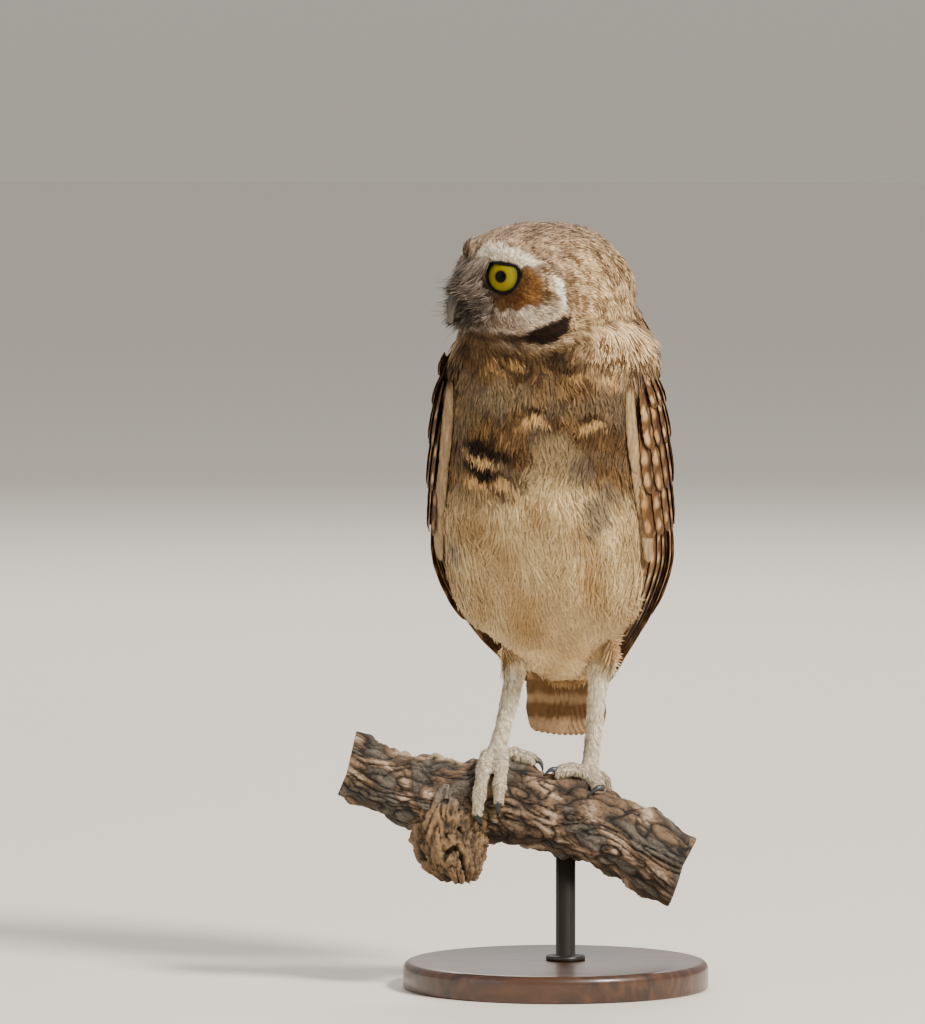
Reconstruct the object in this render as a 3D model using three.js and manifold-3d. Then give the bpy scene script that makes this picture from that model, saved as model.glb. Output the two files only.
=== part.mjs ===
// A burrowing owl standing on a cut length of branch, on a small display stand. Life size, in millimetres.
// The bird faces -Y with its head turned to its right. Heights inside the bird's group are measured from
// the level of its feet, and the floor is z = 0.
import * as THREE from "three";
import { mergeVertices } from "three/addons/utils/BufferGeometryUtils.js";
import Module from "manifold-3d";

const wasm = await Module();
wasm.setup();

// Driving dimensions
const GAP = 0.3; // the air kept between touching pieces
const FEET_LEVEL = 88; // height of the perch's top above the floor
const PERCH_TURN = 12; // degrees that the branch is turned from the bird's own width

const HEAD = { centre: [-5.5, -7, 195], turn: -48, wide: 35.5, front: 33, back: 39, up: 29, down: 29 };
const EYE = { radius: 9.4, forward: 21.2, apart: 12.6, up: 6.4, toe_out: 36, iris: 6.4 };
const BILL = { root: 29, up: 3.5, reach: 12, drop: 16, wide: 4.6, deep: 5 };
const NECK_BASE = 166;
const WING = { top: 168, tip: 33, core_end: 102, core_thick: 3, under: 0.6, pocket: 14, pocket_spread: 2 };
const VANE = { thick: 0.6, lean: 0.75, droop: 0.3 }; // a feather, how far its edges lean and droop
const TAIL = {
  root: [33, 76], // distance behind the bird's middle, height
  tip: [43.5, 11],
  centre: -3.8,
  root_wide: 11.8,
  tip_wide: 17.2,
  core_end: 56,
  core_thick: 4.2,
  feathers: 7,
  feather_wide: 5.2,
  tilt: 1.1,
};
const BASE = { radius: 62, thick: 11 };
const ROD = { radius: 4, along: 4 };

// Stations of the torso: height, half width, reach to the front, reach to the back, middle's place across
const TORSO = [
  [166, 41.5, 35, 33, -1.5],
  [156, 43.5, 38, 38.5, -2.5],
  [138, 45, 40.5, 42.5, -3],
  [116, 46.5, 41.5, 45.5, -3],
  [96, 46.8, 40, 47, -3],
  [78, 44.5, 35.5, 46.5, -3],
  [64, 37.5, 27, 41, -3],
  [53, 26, 15, 36, -2],
  [45, 18, 3, 36, -2],
  [37, 10, -16, 37, -2],
];
// Stations of the neck, the same way
const NECK = [
  [NECK_BASE + GAP, 41.5, 35, 33, -1.5],
  [174, 40.5, 34.5, 32, -1.5],
  [183, 37.5, 31.5, 30, -2.5],
  [193, 30, 24, 24, -4],
];
// Stations of the surface that a folded wing lies on: height, half width, half depth, centre's way back
const MANTLE = [
  [172, 35, 30, -1],
  [162, 39.5, 34, 0],
  [136, 43.2, 38.5, 2],
  [110, 44.6, 39.2, 3.5],
  [86, 44.4, 37, 7.5],
  [66, 36.4, 30.5, 13.5],
  [49, 25, 25, 19.5],
  [34, 17.2, 20, 25.5],
  [14, 12, 16, 31],
];
const MANTLE_CENTRE = -3; // the body leans a little to its right
// Stations of a folded wing's edges: height, front edge and back edge in degrees from the breast
const WING_EDGES = [
  [168, 78, 140],
  [160, 66, 158],
  [136, 60, 167],
  [110, 60, 168],
  [86, 61, 160],
  [72, 62, 150],
  [60, 64, 146],
  [50, 68, 146],
  [40, 80, 146],
  [33, 104, 140],
];
// Tiers of wing feathers, from the lowest to the highest: primaries, secondaries, three rows of coverts and
// the scapulars. Heights of root and tip and places across are for the tier's first and last feather. Across
// runs from the wing's front edge, 0, to its back edge, 1. Lift is the height off the mantle at root and
// tip, and stack is what each feather adds to it at the tip.
const PRIMARIES = {
  count: 5,
  root: [108, 108],
  tip: [42, 33],
  across: [0.1, 0.5],
  gather: 1.5, // how much further back the tips lie than the roots
  wide: 4.8,
  lift: [3.3, 2.5],
  stack: 0.5,
};
const SECONDARIES = {
  count: 6,
  root: [114, 120],
  tip: [60, 88],
  across: [0.36, 0.92],
  gather: 1,
  wide: 5.2,
  lift: [3.4, 5.6],
  stack: 0,
};
const COVERTS = [
  { root: [126, 132], tip: [96, 110], across: [0.11, 0.8], wide: 6.2, lift: [2.3, 6.2], count: 5 },
  { root: [145, 149], tip: [121, 129], across: [0.13, 0.8], wide: 6.6, lift: [2.3, 6.2], count: 5 },
  { root: [161, 162], tip: [141, 148], across: [0.18, 0.8], wide: 7.6, lift: [2.2, 5.2], count: 4 },
].map((tier) => ({ ...tier, gather: 1, stack: 0 }));
const SCAPULARS = {
  count: 4,
  root: [158, 144],
  tip: [134, 100],
  across: [0.76, 0.94],
  gather: 1,
  wide: 6.4,
  lift: [2.8, 8.2],
  stack: 0.2,
};
const TIERS = [PRIMARIES, SECONDARIES, ...COVERTS, SCAPULARS];
// Stations of the branch, from its left end: place along it, height of its middle, radius
const BRANCH = [
  [-84, 3, 12.5],
  [-62, -7, 14],
  [-40, -11, 15.5],
  [-20, -12.5, 16],
  [-5, -16, 16],
  [15, -22, 15.5],
  [35, -31.5, 15],
  [50, -41, 15.5],
];
// Toes in the branch's own surface: start and end along it, start and end round it from top to front. Aim
// turns a claw towards the branch's right end, or below 0 towards its left end.
const TOES = {
  right: [
    { name: "outer", along: [-27, -31.8], round: [12, 104], claw: 9, bend: 0.45, aim: 0.5 },
    { name: "middle", along: [-24.2, -23.5], round: [12, 88], claw: 9 },
    { name: "inner", along: [-20.5, -12.5], round: [-4, 8], claw: 7 },
    { name: "hind", along: [-25, -27], round: [-18, -88], claw: 9 },
  ],
  left: [
    { name: "inner", along: [5.5, -4.8], round: [4, 20], claw: 7 },
    { name: "middle", along: [9, 12.6], round: [6, 30], claw: 9, aim: -1.8 },
    { name: "outer", along: [11, 18], round: [-12, -62], claw: 10 },
    { name: "hind", along: [6.5, 2.5], round: [-18, -82], claw: 9 },
  ],
};
const TOE = { radius: 3.5, tip: 3.1, claw: 1.6, steps: 5 };
const LEGS = {
  right: { knee: [-20, -8, 76], heel: [-18, 13, 48], along: -25 },
  left: { knee: [19, -8, 74], heel: [16, 13, 48], along: 7.5 },
};
const LEG = { knee: 12, heel: 6.2, shank: 4.1, ankle: 4.6, above_bark: 5.5 };

const rad = THREE.MathUtils.degToRad;
const V = (x, y, z) => new THREE.Vector3(x, y, z);

// Smooth value of each column of a station table at a given first column: a cubic Hermite between stations.
function at(stations, x) {
  const up = stations[0][0] < stations[stations.length - 1][0];
  const rows = up ? stations : [...stations].reverse();
  const last = rows.length - 1;
  const held = THREE.MathUtils.clamp(x, rows[0][0], rows[last][0]);
  let i = 0;
  while (i < last - 1 && rows[i + 1][0] < held) i += 1;
  const [a, b] = [rows[i], rows[i + 1]];
  const [before, after] = [rows[Math.max(i - 1, 0)], rows[Math.min(i + 2, last)]];
  const t = (held - a[0]) / (b[0] - a[0]);
  return a.slice(1).map((_, k) => {
    const c = k + 1;
    const slopeA = ((b[c] - before[c]) / (b[0] - before[0])) * (b[0] - a[0]);
    const slopeB = ((after[c] - a[c]) / (after[0] - a[0])) * (b[0] - a[0]);
    const [t2, t3] = [t * t, t * t * t];
    const fromA = (2 * t3 - 3 * t2 + 1) * a[c] + (t3 - 2 * t2 + t) * slopeA;
    return fromA + (3 * t2 - 2 * t3) * b[c] + (t3 - t2) * slopeB;
  });
}

// A geometry's faces as a solid. Faces that were wound inwards are turned round.
function solid(geometry, matrix) {
  const g = geometry.clone();
  if (matrix) g.applyMatrix4(matrix);
  g.deleteAttribute("normal");
  g.deleteAttribute("uv");
  const merged = mergeVertices(g, 1e-4);
  const make = (triVerts) =>
    new wasm.Manifold(
      new wasm.Mesh({ numProp: 3, vertProperties: merged.attributes.position.array, triVerts }),
    );
  const indices = new Uint32Array(merged.index.array);
  const made = make(indices);
  return made.volume() < 0 ? make(indices.reverse()) : made;
}

function geometryOf(points, faces) {
  const g = new THREE.BufferGeometry();
  const places = points.flatMap((p) => [p.x, p.y, p.z]);
  g.setAttribute("position", new THREE.Float32BufferAttribute(places, 3));
  g.setIndex(faces.flat());
  return g;
}

// Rings of equal length, one after another, closed at both ends by fans.
function loft(rings) {
  const n = rings[0].length;
  const points = rings.flat();
  const faces = [];
  for (let i = 0; i + 1 < rings.length; i += 1) {
    for (let j = 0; j < n; j += 1) {
      const [a, b] = [i * n + j, i * n + ((j + 1) % n)];
      faces.push([a, b, b + n], [a, b + n, a + n]);
    }
  }
  for (const [ring, start, turned] of [
    [rings[0], 0, true],
    [rings[rings.length - 1], (rings.length - 1) * n, false],
  ]) {
    const middle = ring.reduce((sum, p) => sum.add(p), V(0, 0, 0)).divideScalar(n);
    points.push(middle);
    for (let j = 0; j < n; j += 1) {
      const [a, b] = [start + j, start + ((j + 1) % n)];
      faces.push(turned ? [b, a, points.length - 1] : [a, b, points.length - 1]);
    }
  }
  return solid(geometryOf(points, faces));
}

// A thin body between two grids of points, its faces split alike on both sides.
function shell(outer, inner) {
  const [rows, columns] = [outer.length, outer[0].length];
  const points = [...outer.flat(), ...inner.flat()];
  const under = rows * columns;
  const id = (i, j, side) => side * under + i * columns + j;
  const faces = [];
  for (let i = 0; i + 1 < rows; i += 1) {
    for (let j = 0; j + 1 < columns; j += 1) {
      const quad = (s) => [id(i, j, s), id(i + 1, j, s), id(i + 1, j + 1, s), id(i, j + 1, s)];
      const [a, b, c, d] = quad(0);
      const [e, f, g, h] = quad(1);
      faces.push([a, b, c], [a, c, d], [g, f, e], [h, g, e]);
    }
  }
  const rim = [];
  for (let i = 0; i + 1 < rows; i += 1) rim.push([i, 0]);
  for (let j = 0; j + 1 < columns; j += 1) rim.push([rows - 1, j]);
  for (let i = rows - 1; i > 0; i -= 1) rim.push([i, columns - 1]);
  for (let j = columns - 1; j > 0; j -= 1) rim.push([0, j]);
  rim.forEach(([i, j], k) => {
    const [m, n] = rim[(k + 1) % rim.length];
    faces.push([id(i, j, 0), id(i, j, 1), id(m, n, 1)], [id(i, j, 0), id(m, n, 1), id(m, n, 0)]);
  });
  return solid(geometryOf(points, faces));
}

// A round bar along a path of points, with a radius at each and each end carried on by `grow`.
function bar(path, radii, sides, grow = 0) {
  const points = path.map((p) => p.clone());
  const last = points.length - 1;
  const step = (a, b) => points[b].clone().sub(points[a]).normalize();
  if (grow) {
    points[0].addScaledVector(step(0, 1), -grow);
    points[last].addScaledVector(step(last - 1, last), grow);
  }
  let side = V(1, 0, 0);
  const rings = points.map((p, i) => {
    const along = step(Math.max(i - 1, 0), Math.min(i + 1, last));
    if (Math.abs(along.dot(side)) > 0.95) side = V(0, 1, 0);
    side = side.clone().addScaledVector(along, -side.dot(along)).normalize();
    const across = along.clone().cross(side);
    return Array.from({ length: sides }, (_, j) => {
      const a = (2 * Math.PI * j) / sides;
      const r = radii[i] + grow;
      const outward = side.clone().multiplyScalar(r * Math.cos(a)).addScaledVector(across, r * Math.sin(a));
      return p.clone().add(outward);
    });
  });
  return loft(rings);
}

const union = (list) => wasm.Manifold.union(list);
// The largest closed surface of a solid.
function whole(made) {
  return made.decompose().sort((a, b) => b.volume() - a.volume())[0];
}

const root = new THREE.Group();
const onPerch = new THREE.Group();
onPerch.position.z = FEET_LEVEL;
root.add(onPerch);

const finish = (color, roughness) => new THREE.MeshStandardMaterial({ color, roughness, metalness: 0 });
const BUFF = finish(0xc9b48f, 0.9);
const BROWN = finish(0x6b4e33, 0.85);
const HEAD_BROWN = finish(0x9a8064, 0.9);
const WHITE_LEG = finish(0xd9d2c0, 0.9);
const HORN = finish(0x6f6d58, 0.45);
const CLAW = finish(0x3a3f45, 0.4);
const IRIS = finish(0xc6bf1a, 0.1);
const BARK = finish(0x8a7560, 0.9);
const STAND = finish(0x3b2a1e, 0.45);
const STEEL = finish(0x4a4742, 0.4);

function add(group, name, made, material) {
  const m = whole(made).getMesh();
  const g = new THREE.BufferGeometry();
  g.setAttribute("position", new THREE.BufferAttribute(m.vertProperties, 3));
  g.setIndex(new THREE.BufferAttribute(m.triVerts, 1));
  g.computeVertexNormals();
  const mesh = new THREE.Mesh(g, material);
  mesh.name = name;
  group.add(mesh);
}

// Torso and neck: rings of a rounded cross-section, deeper at the front than at the back as the table says
const BODY_SIDES = 24;
function bodyRings(stations, heights) {
  return heights.map((h) => {
    const [wide, front, back, centre] = at(stations, h);
    const middle = (back - front) / 2;
    const deep = (back + front) / 2;
    return Array.from({ length: BODY_SIDES }, (_, j) => {
      const a = (2 * Math.PI * j) / BODY_SIDES;
      const [c, s] = [Math.cos(a), Math.sin(a)];
      const swell = 1 / Math.pow(Math.pow(Math.abs(c), 2.3) + Math.pow(Math.abs(s), 2.3), 1 / 2.3);
      return V(centre + wide * c * swell, middle + deep * s * swell, h);
    });
  });
}
const levels = (low, high, count) =>
  Array.from({ length: count }, (_, i) => low + ((high - low) * i) / (count - 1));

// Where the folded wing lies: a point `out` millimetres off the mantle, `round` degrees from the breast
function mantle(side, h, round, out) {
  const [wide, deep, back] = at(MANTLE, h);
  const a = rad(round);
  const [nx, ny] = [Math.sin(a) / wide, -Math.cos(a) / deep];
  const n = Math.hypot(nx, ny);
  return V(
    MANTLE_CENTRE + side * (wide * Math.sin(a) + (out * nx) / n),
    back - deep * Math.cos(a) + (out * ny) / n,
    h,
  );
}

// A band of the wing between two heights, from `inside` to `outside` off the mantle, each a function of the
// height. Spread widens it all round.
function wingForm(side, [low, high], inside, outside, spread = 0) {
  const rows = levels(low, high, Math.round((high - low) / 11) + 1);
  if (spread) {
    rows.unshift(low - spread);
    rows.push(high + spread);
  }
  const grid = (out) =>
    rows.map((h) => {
      const [front, back] = at(WING_EDGES, h);
      const columns = levels(front, back, 7);
      if (spread) {
        columns.unshift(front - spread);
        columns.push(back + spread);
      }
      return columns.map((round) => mantle(side, h, round, out(h)));
    });
  return shell(grid(outside), grid(inside));
}
const wingPockets = [1, -1].map((side) =>
  wingForm(side, [WING.tip, WING.top], () => -WING.under, () => WING.pocket, WING.pocket_spread),
);

// A feather's width at parts of its length: nearly parallel sides and a round tip
const OUTLINE = [
  [0, 0.62],
  [0.45, 1],
  [0.8, 0.98],
  [0.94, 0.7],
  [1, 0.2],
];
// A feather: a strip along a path of places, three points across. Each place gives its middle, the way
// across and the way out. The strip leans, so that its far edge slips under the next feather, and its edges
// droop.
function vane(places, wide, lean, droop) {
  const grid = (under) =>
    places.map(({ middle, across, out }, i) => {
      const half = wide * OUTLINE[i][1];
      return [-1, 0, 1].map((u) =>
        middle
          .clone()
          .addScaledVector(across, u * half)
          .addScaledVector(out, -lean * u * OUTLINE[i][1] - droop * Math.abs(u) - under),
      );
    });
  return shell(grid(0), grid(VANE.thick));
}
// The places along one feather of a folded wing
function wingPlaces(side, tier, k) {
  const mix = (range) => THREE.MathUtils.lerp(range[0], range[1], k / (tier.count - 1));
  const [root, tip, across] = [mix(tier.root), mix(tier.tip), mix(tier.across)];
  const place = (t, off) => {
    const h = THREE.MathUtils.lerp(root, tip, t);
    const [front, back] = at(WING_EDGES, h);
    const share = across * (1 + (tier.gather - 1) * t);
    return mantle(side, h, THREE.MathUtils.lerp(front, back, share), off);
  };
  return OUTLINE.map(([t]) => {
    const rise = THREE.MathUtils.lerp(tier.lift[0], tier.lift[1], Math.sin((t * Math.PI) / 2));
    const off = rise + tier.stack * k * t;
    const middle = place(t, off);
    const out = place(t, off + 1).sub(middle);
    const ahead = Math.min(t + 0.05, 1);
    const along = place(ahead, off).sub(place(ahead - 0.1, off)).normalize();
    return { middle, out, across: out.clone().cross(along).multiplyScalar(side).normalize() };
  });
}
function wing(side) {
  const swell = (h) => THREE.MathUtils.smoothstep(h, WING.core_end - 16, WING.core_end + 10);
  const core = wingForm(side, [WING.core_end, WING.top], () => 0, (h) => WING.core_thick * swell(h));
  const feather = (tier, k) => vane(wingPlaces(side, tier, k), tier.wide, VANE.lean, VANE.droop);
  const tierOf = (tier) => levels(0, tier.count - 1, tier.count).map((k) => feather(tier, k));
  return union([core, ...TIERS.flatMap(tierOf)]);
}
const wings = { left: wing(1), right: wing(-1) };

// The tail: a core under the coverts and a fan of feathers that lie over one another, the middle one on top
const tailShare = (h) => (TAIL.root[1] - h) / (TAIL.root[1] - TAIL.tip[1]);
const tailWide = (h) => THREE.MathUtils.lerp(TAIL.root_wide, TAIL.tip_wide, tailShare(h));
function tailPlace(u, h, out) {
  const y = THREE.MathUtils.lerp(TAIL.root[0], TAIL.tip[0], tailShare(h));
  const rise = 3 * u * u * Math.max(tailShare(h), 0);
  return V(TAIL.centre + tailWide(h) * u, y + out - 1.6 * u * u, h + rise);
}
function tailBlock(low, thick, grow) {
  const rows = levels(low - grow, TAIL.root[1] + grow, 6);
  const spread = 1 + grow / TAIL.root_wide;
  const grid = (out) => rows.map((h) => levels(-spread, spread, 7).map((u) => tailPlace(u, h, out)));
  return shell(grid(thick / 2 + grow), grid(-thick / 2 - grow));
}
function tailFeather(k) {
  const u = (2 * k) / (TAIL.feathers - 1) - 1;
  const top = u === 0 ? TAIL.tilt : 0;
  const places = OUTLINE.map(([t, share]) => {
    const h = THREE.MathUtils.lerp(TAIL.root[1] - 8, TAIL.tip[1], t);
    const reach = 1 - (TAIL.feather_wide * share) / tailWide(h);
    return { middle: tailPlace(u * reach, h, top), across: V(1, 0, 0), out: V(0, 1, 0) };
  });
  return vane(places, TAIL.feather_wide, -Math.sign(u) * TAIL.tilt, 0.2);
}
const tailFeathers = levels(0, TAIL.feathers - 1, TAIL.feathers).map(tailFeather);
const tail = union([tailBlock(TAIL.core_end, TAIL.core_thick, 0), ...tailFeathers]);
const tailPocket = tailBlock(TAIL.tip[1], TAIL.core_thick + 1.4, GAP);

// Legs: the feathered thigh, the shank and the foot
function thigh(leg, grow) {
  const [knee, heel] = [V(...leg.knee), V(...leg.heel)];
  const path = levels(0, 1, 6).map((t) => knee.clone().lerp(heel, t));
  const radii = levels(0, 1, 6).map((t) => LEG.knee + (LEG.heel - LEG.knee) * Math.sqrt(t));
  return bar(path, radii, 14, grow);
}
function shank(leg, grow) {
  const [heel, foot] = [V(...leg.heel), onBranch(leg.along, 0, LEG.above_bark)];
  const path = levels(-0.06, 1, 7).map((t) => heel.clone().lerp(foot, t));
  const top = [LEG.heel - 1.4, LEG.heel - 1, LEG.shank + 0.4];
  const radii = [...top, LEG.shank, LEG.shank, LEG.shank + 0.1, LEG.ankle];
  return bar(path, radii, 12, grow);
}

// The branch. A place on it is given by how far along it is, the angle round it from its top towards the
// front, and the height off its bark.
const turn = new THREE.Matrix4().makeRotationZ(rad(PERCH_TURN));
function bark(along, round) {
  return (
    0.7 * Math.sin(along * 0.21 + 2.1 * round) +
    0.5 * Math.sin(along * 0.37 - 3 * round + 1.3) +
    0.35 * Math.sin(along * 0.83 + 5 * round)
  );
}
function onBranch(along, roundDegrees, off) {
  const [height, radius] = at(BRANCH, along);
  const a = rad(roundDegrees);
  const r = radius + bark(along, a) + off;
  const [before, after] = [at(BRANCH, along - 1)[0], at(BRANCH, along + 1)[0]];
  const slope = Math.atan2(after - before, 2);
  return V(
    along - r * Math.cos(a) * Math.sin(slope),
    -r * Math.sin(a),
    height + r * Math.cos(a) * Math.cos(slope),
  ).applyMatrix4(turn);
}
function branch(grow) {
  const [first, last] = [BRANCH[0][0], BRANCH[BRANCH.length - 1][0]];
  const angles = levels(0, 360, 15).slice(0, 14);
  return loft(levels(first, last, 22).map((along) => angles.map((a) => onBranch(along, a, grow))));
}
// The broken stub that hangs from the branch
function stub(grow) {
  const path = [V(-40, 0, -4), V(-42, -3, -16), V(-43, -5, -28), V(-42, -6, -38), V(-40, -6, -43)];
  const radii = [13, 17, 17, 13, 8];
  return bar(path.map((p) => p.applyMatrix4(turn)), radii, 10, grow);
}

function toePath(toe, from, to, height) {
  return levels(from, to, TOE.steps).map((t) => {
    const along = THREE.MathUtils.lerp(toe.along[0], toe.along[1], Math.max(t, 0) ** (toe.bend ?? 1));
    const round = THREE.MathUtils.lerp(toe.round[0], toe.round[1], t);
    return onBranch(along, round, height(t));
  });
}
function toeForm(toe, grow) {
  const path = toePath(toe, 0, 1, () => TOE.radius - 0.4);
  const radii = levels(0, 1, TOE.steps).map(
    (t) => TOE.radius + (TOE.tip - TOE.radius) * t + 0.35 * Math.cos(t * 9), // the toe's joints swell
  );
  return bar(path, radii, 7, grow);
}
// A claw carries on from its toe and curves down to the bark
function clawForm(toe, grow) {
  const end = onBranch(toe.along[1], toe.round[1], TOE.radius - 0.2);
  const near = toePath(toe, 0.9, 1, () => TOE.radius - 0.2)[0];
  const ahead = end.clone().sub(near).normalize();
  ahead.addScaledVector(V(1, 0, 0).applyMatrix4(turn), toe.aim ?? 0).normalize();
  const surface = (off) => onBranch(toe.along[1], toe.round[1], off);
  const down = surface(0).sub(surface(5)).normalize();
  const path = levels(0, 1, 6).map((t) =>
    end
      .clone()
      .addScaledVector(ahead, toe.claw * (t - 0.12 - 0.25 * t * t))
      .addScaledVector(down, 2.4 * t * t - 1.2 * Math.sin(t * 3)),
  );
  return bar(path, levels(0, 1, 6).map((t) => TOE.claw * (1.02 - t)), 6, grow);
}

const perch = branch(0);
const perchGrown = branch(GAP);
const stubSolid = stub(0).subtract(perchGrown);
const clear = [perchGrown, stub(GAP)];

const feet = {};
const claws = {};
for (const [side, leg] of Object.entries(LEGS)) {
  const toes = TOES[side].map((toe) => toeForm(toe, 0));
  const middle = [LEG.above_bark + 2, LEG.above_bark - 6].map((off) => onBranch(leg.along, 0, off));
  const knuckle = bar(middle, [LEG.ankle + 0.2, LEG.ankle + 1.2], 10);
  claws[side] = TOES[side].map((toe) => clawForm(toe, 0).subtract(union(clear)));
  feet[side] = union([...toes, knuckle])
    .subtract(union(clear))
    .subtract(shank(leg, GAP))
    .subtract(union(TOES[side].map((toe) => clawForm(toe, GAP))));
}

// Head, in its own frame: x to the bird's left, -y forward, z up
const headFrame = new THREE.Matrix4()
  .makeTranslation(...HEAD.centre)
  .multiply(new THREE.Matrix4().makeRotationZ(rad(HEAD.turn)));
function bump(az, el, az0, el0, wide, high) {
  return Math.exp(-(((az - az0) / wide) ** 2) - ((el - el0) / high) ** 2);
}
function headRadius(az, el) {
  const [a, e] = [rad(az), rad(el)];
  const [l, f, u] = [Math.cos(e) * Math.sin(a), Math.cos(e) * Math.cos(a), Math.sin(e)];
  const p = 2.25;
  const part = (value, size) => Math.pow(Math.abs(value) / size, p);
  const across = part(l, HEAD.wide);
  const ahead = part(f, f > 0 ? HEAD.front : HEAD.back);
  const sum = across + ahead + part(u, u > 0 ? HEAD.up : HEAD.down);
  const both = Math.abs(az);
  return (
    Math.pow(sum, -1 / p) -
    3.2 * bump(both, el, 29, 7, 17, 15) +
    2.6 * bump(both, el, 25, 29, 27, 8) +
    2.4 * bump(both, el, 0, -6, 11, 20) +
    2.6 * bump(both, el, 33, -25, 24, 11) +
    1.8 * bump(both, el, 64, 0, 8, 26) +
    1.5 * bump(both, el, 20, 38, 28, 12) -
    1.8 * bump(both, el, 150, 28, 34, 18)
  );
}
function headPoint(az, el, grow) {
  const r = headRadius(az, el) + grow;
  const [a, e] = [rad(az), rad(el)];
  const level = r * Math.cos(e);
  return V(level * Math.sin(a), -level * Math.cos(a), r * Math.sin(e)).applyMatrix4(headFrame);
}
function headForm(grow) {
  const columns = 32;
  // Columns are closer together across the face than round the back.
  const azimuth = (j) => {
    const t = (2 * j) / columns - 1;
    return 180 * (0.62 * t + 0.38 * t * t * t);
  };
  const rings = levels(-85, 85, 17).map((el) =>
    Array.from({ length: columns }, (_, j) => headPoint(azimuth(j), el, grow)),
  );
  return loft(rings);
}
function eyeFrame(side) {
  return headFrame
    .clone()
    .multiply(new THREE.Matrix4().makeTranslation(side * EYE.apart, -EYE.forward, EYE.up))
    .multiply(new THREE.Matrix4().makeRotationZ(rad(side * EYE.toe_out)));
}
function eyeball(side, grow) {
  return solid(new THREE.SphereGeometry(EYE.radius + grow, 14, 8), eyeFrame(side));
}
// The lids: a ring round the open part of the eye
function lids(side) {
  const ring = new THREE.TorusGeometry(EYE.iris + 0.9, 1.0, 6, 18);
  ring.rotateX(Math.PI / 2);
  ring.translate(0, -Math.sqrt(EYE.radius ** 2 - EYE.iris ** 2) - 0.2, 0);
  return solid(ring, eyeFrame(side));
}
// One half of the bill: an arch that curves down, `deep` above its path and `under` below it
function billPart(reach, drop, root, wide, deep, under, grow) {
  const path = levels(0, 1, 7).map((t) => {
    const ahead = BILL.root + reach * Math.sin(t * 1.75);
    return V(0, -ahead, BILL.up + root - drop * t ** 1.5).applyMatrix4(headFrame);
  });
  const rings = path.map((p, i) => {
    const t = i / (path.length - 1);
    const size = Math.sqrt(1 - t * 0.97);
    return Array.from({ length: 10 }, (_, j) => {
      const a = (2 * Math.PI * j) / 10;
      const along = rad(-90 * t);
      const height = Math.sin(a) > 0 ? deep : under;
      const [x, z] = [(wide * size + grow) * Math.cos(a), (height * size + grow) * Math.sin(a)];
      return V(x, z * Math.sin(along), z * Math.cos(along))
        .applyMatrix4(new THREE.Matrix4().makeRotationZ(rad(HEAD.turn)))
        .add(p);
    });
  });
  return loft(rings);
}
function upperBill(grow) {
  return billPart(BILL.reach, BILL.drop, 0, BILL.wide, BILL.deep, BILL.deep * 0.45, grow);
}
// The lower half is shorter and tucked in behind the hook.
function lowerBill(grow) {
  return billPart(BILL.reach * 0.75, BILL.drop * 0.5, -5.5, BILL.wide * 0.8, 3.4, 2.6, grow);
}
const nostrils = union(
  [1, -1].map((side) =>
    solid(
      new THREE.SphereGeometry(0.9, 8, 6).translate(side * 3.4, -(BILL.root + 5.2), BILL.up + 2.6),
      headFrame,
    ),
  ),
);

const eyes = { left: eyeball(1, 0), right: eyeball(-1, 0) };
const head = headForm(0)
  .add(lids(1))
  .add(lids(-1))
  .subtract(union([eyeball(1, GAP), eyeball(-1, GAP), upperBill(GAP), lowerBill(GAP)]));
const neck = loft(bodyRings(NECK, levels(NECK[0][0], NECK[3][0], 5))).subtract(headForm(GAP));
const torso = loft(bodyRings(TORSO, levels(TORSO[TORSO.length - 1][0], TORSO[0][0], 13)))
  .subtract(union(wingPockets))
  .subtract(tailPocket)
  .subtract(union(Object.values(LEGS).flatMap((leg) => [thigh(leg, GAP), shank(leg, GAP)])));

add(onPerch, "head", head, HEAD_BROWN);
add(onPerch, "neck", neck.subtract(union(wingPockets)), HEAD_BROWN);
add(onPerch, "torso", torso, BUFF);
add(onPerch, "tail", tail, BROWN);
add(onPerch, "bill_upper", upperBill(0).subtract(nostrils), HORN);
add(onPerch, "bill_lower", lowerBill(0).subtract(upperBill(GAP)), HORN);
for (const [side, made] of Object.entries(eyes)) add(onPerch, "eye_" + side, made, IRIS);
for (const [side, made] of Object.entries(wings)) add(onPerch, "wing_" + side, made, BROWN);
for (const [side, leg] of Object.entries(LEGS)) {
  add(onPerch, "thigh_" + side, thigh(leg, 0).subtract(shank(leg, GAP)), BUFF);
  add(onPerch, "shank_" + side, shank(leg, 0), WHITE_LEG);
  add(onPerch, "foot_" + side, feet[side], WHITE_LEG);
  TOES[side].forEach((toe, i) => add(onPerch, "claw_" + side + "_" + toe.name, claws[side][i], CLAW));
}
add(onPerch, "perch", perch, BARK);
add(onPerch, "perch_stub", stubSolid, BARK);

// Display stand: a turned base and a rod up to the branch
const baseProfile = [
  [0, 0],
  [BASE.radius - 1, 0],
  [BASE.radius, 1],
  [BASE.radius, BASE.thick - 4],
  [BASE.radius - 1.2, BASE.thick - 1.2],
  [BASE.radius - 4, BASE.thick],
  [0, BASE.thick],
].map(([r, z]) => new THREE.Vector2(r, z));
const lathe = new THREE.LatheGeometry(baseProfile, 40).rotateX(Math.PI / 2);
add(root, "stand_base", solid(lathe), STAND);
const rodTop = FEET_LEVEL + at(BRANCH, ROD.along)[0];
const rodGeometry = new THREE.CylinderGeometry(ROD.radius, ROD.radius, rodTop - BASE.thick - GAP, 24)
  .rotateX(Math.PI / 2)
  .translate(ROD.along, 0, (rodTop + BASE.thick + GAP) / 2);
const raise = new THREE.Matrix4().makeTranslation(0, 0, -FEET_LEVEL);
const rod = solid(rodGeometry, raise.multiply(turn)).subtract(perchGrown);
add(onPerch, "stand_rod", rod, STEEL);

export default root;
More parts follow.
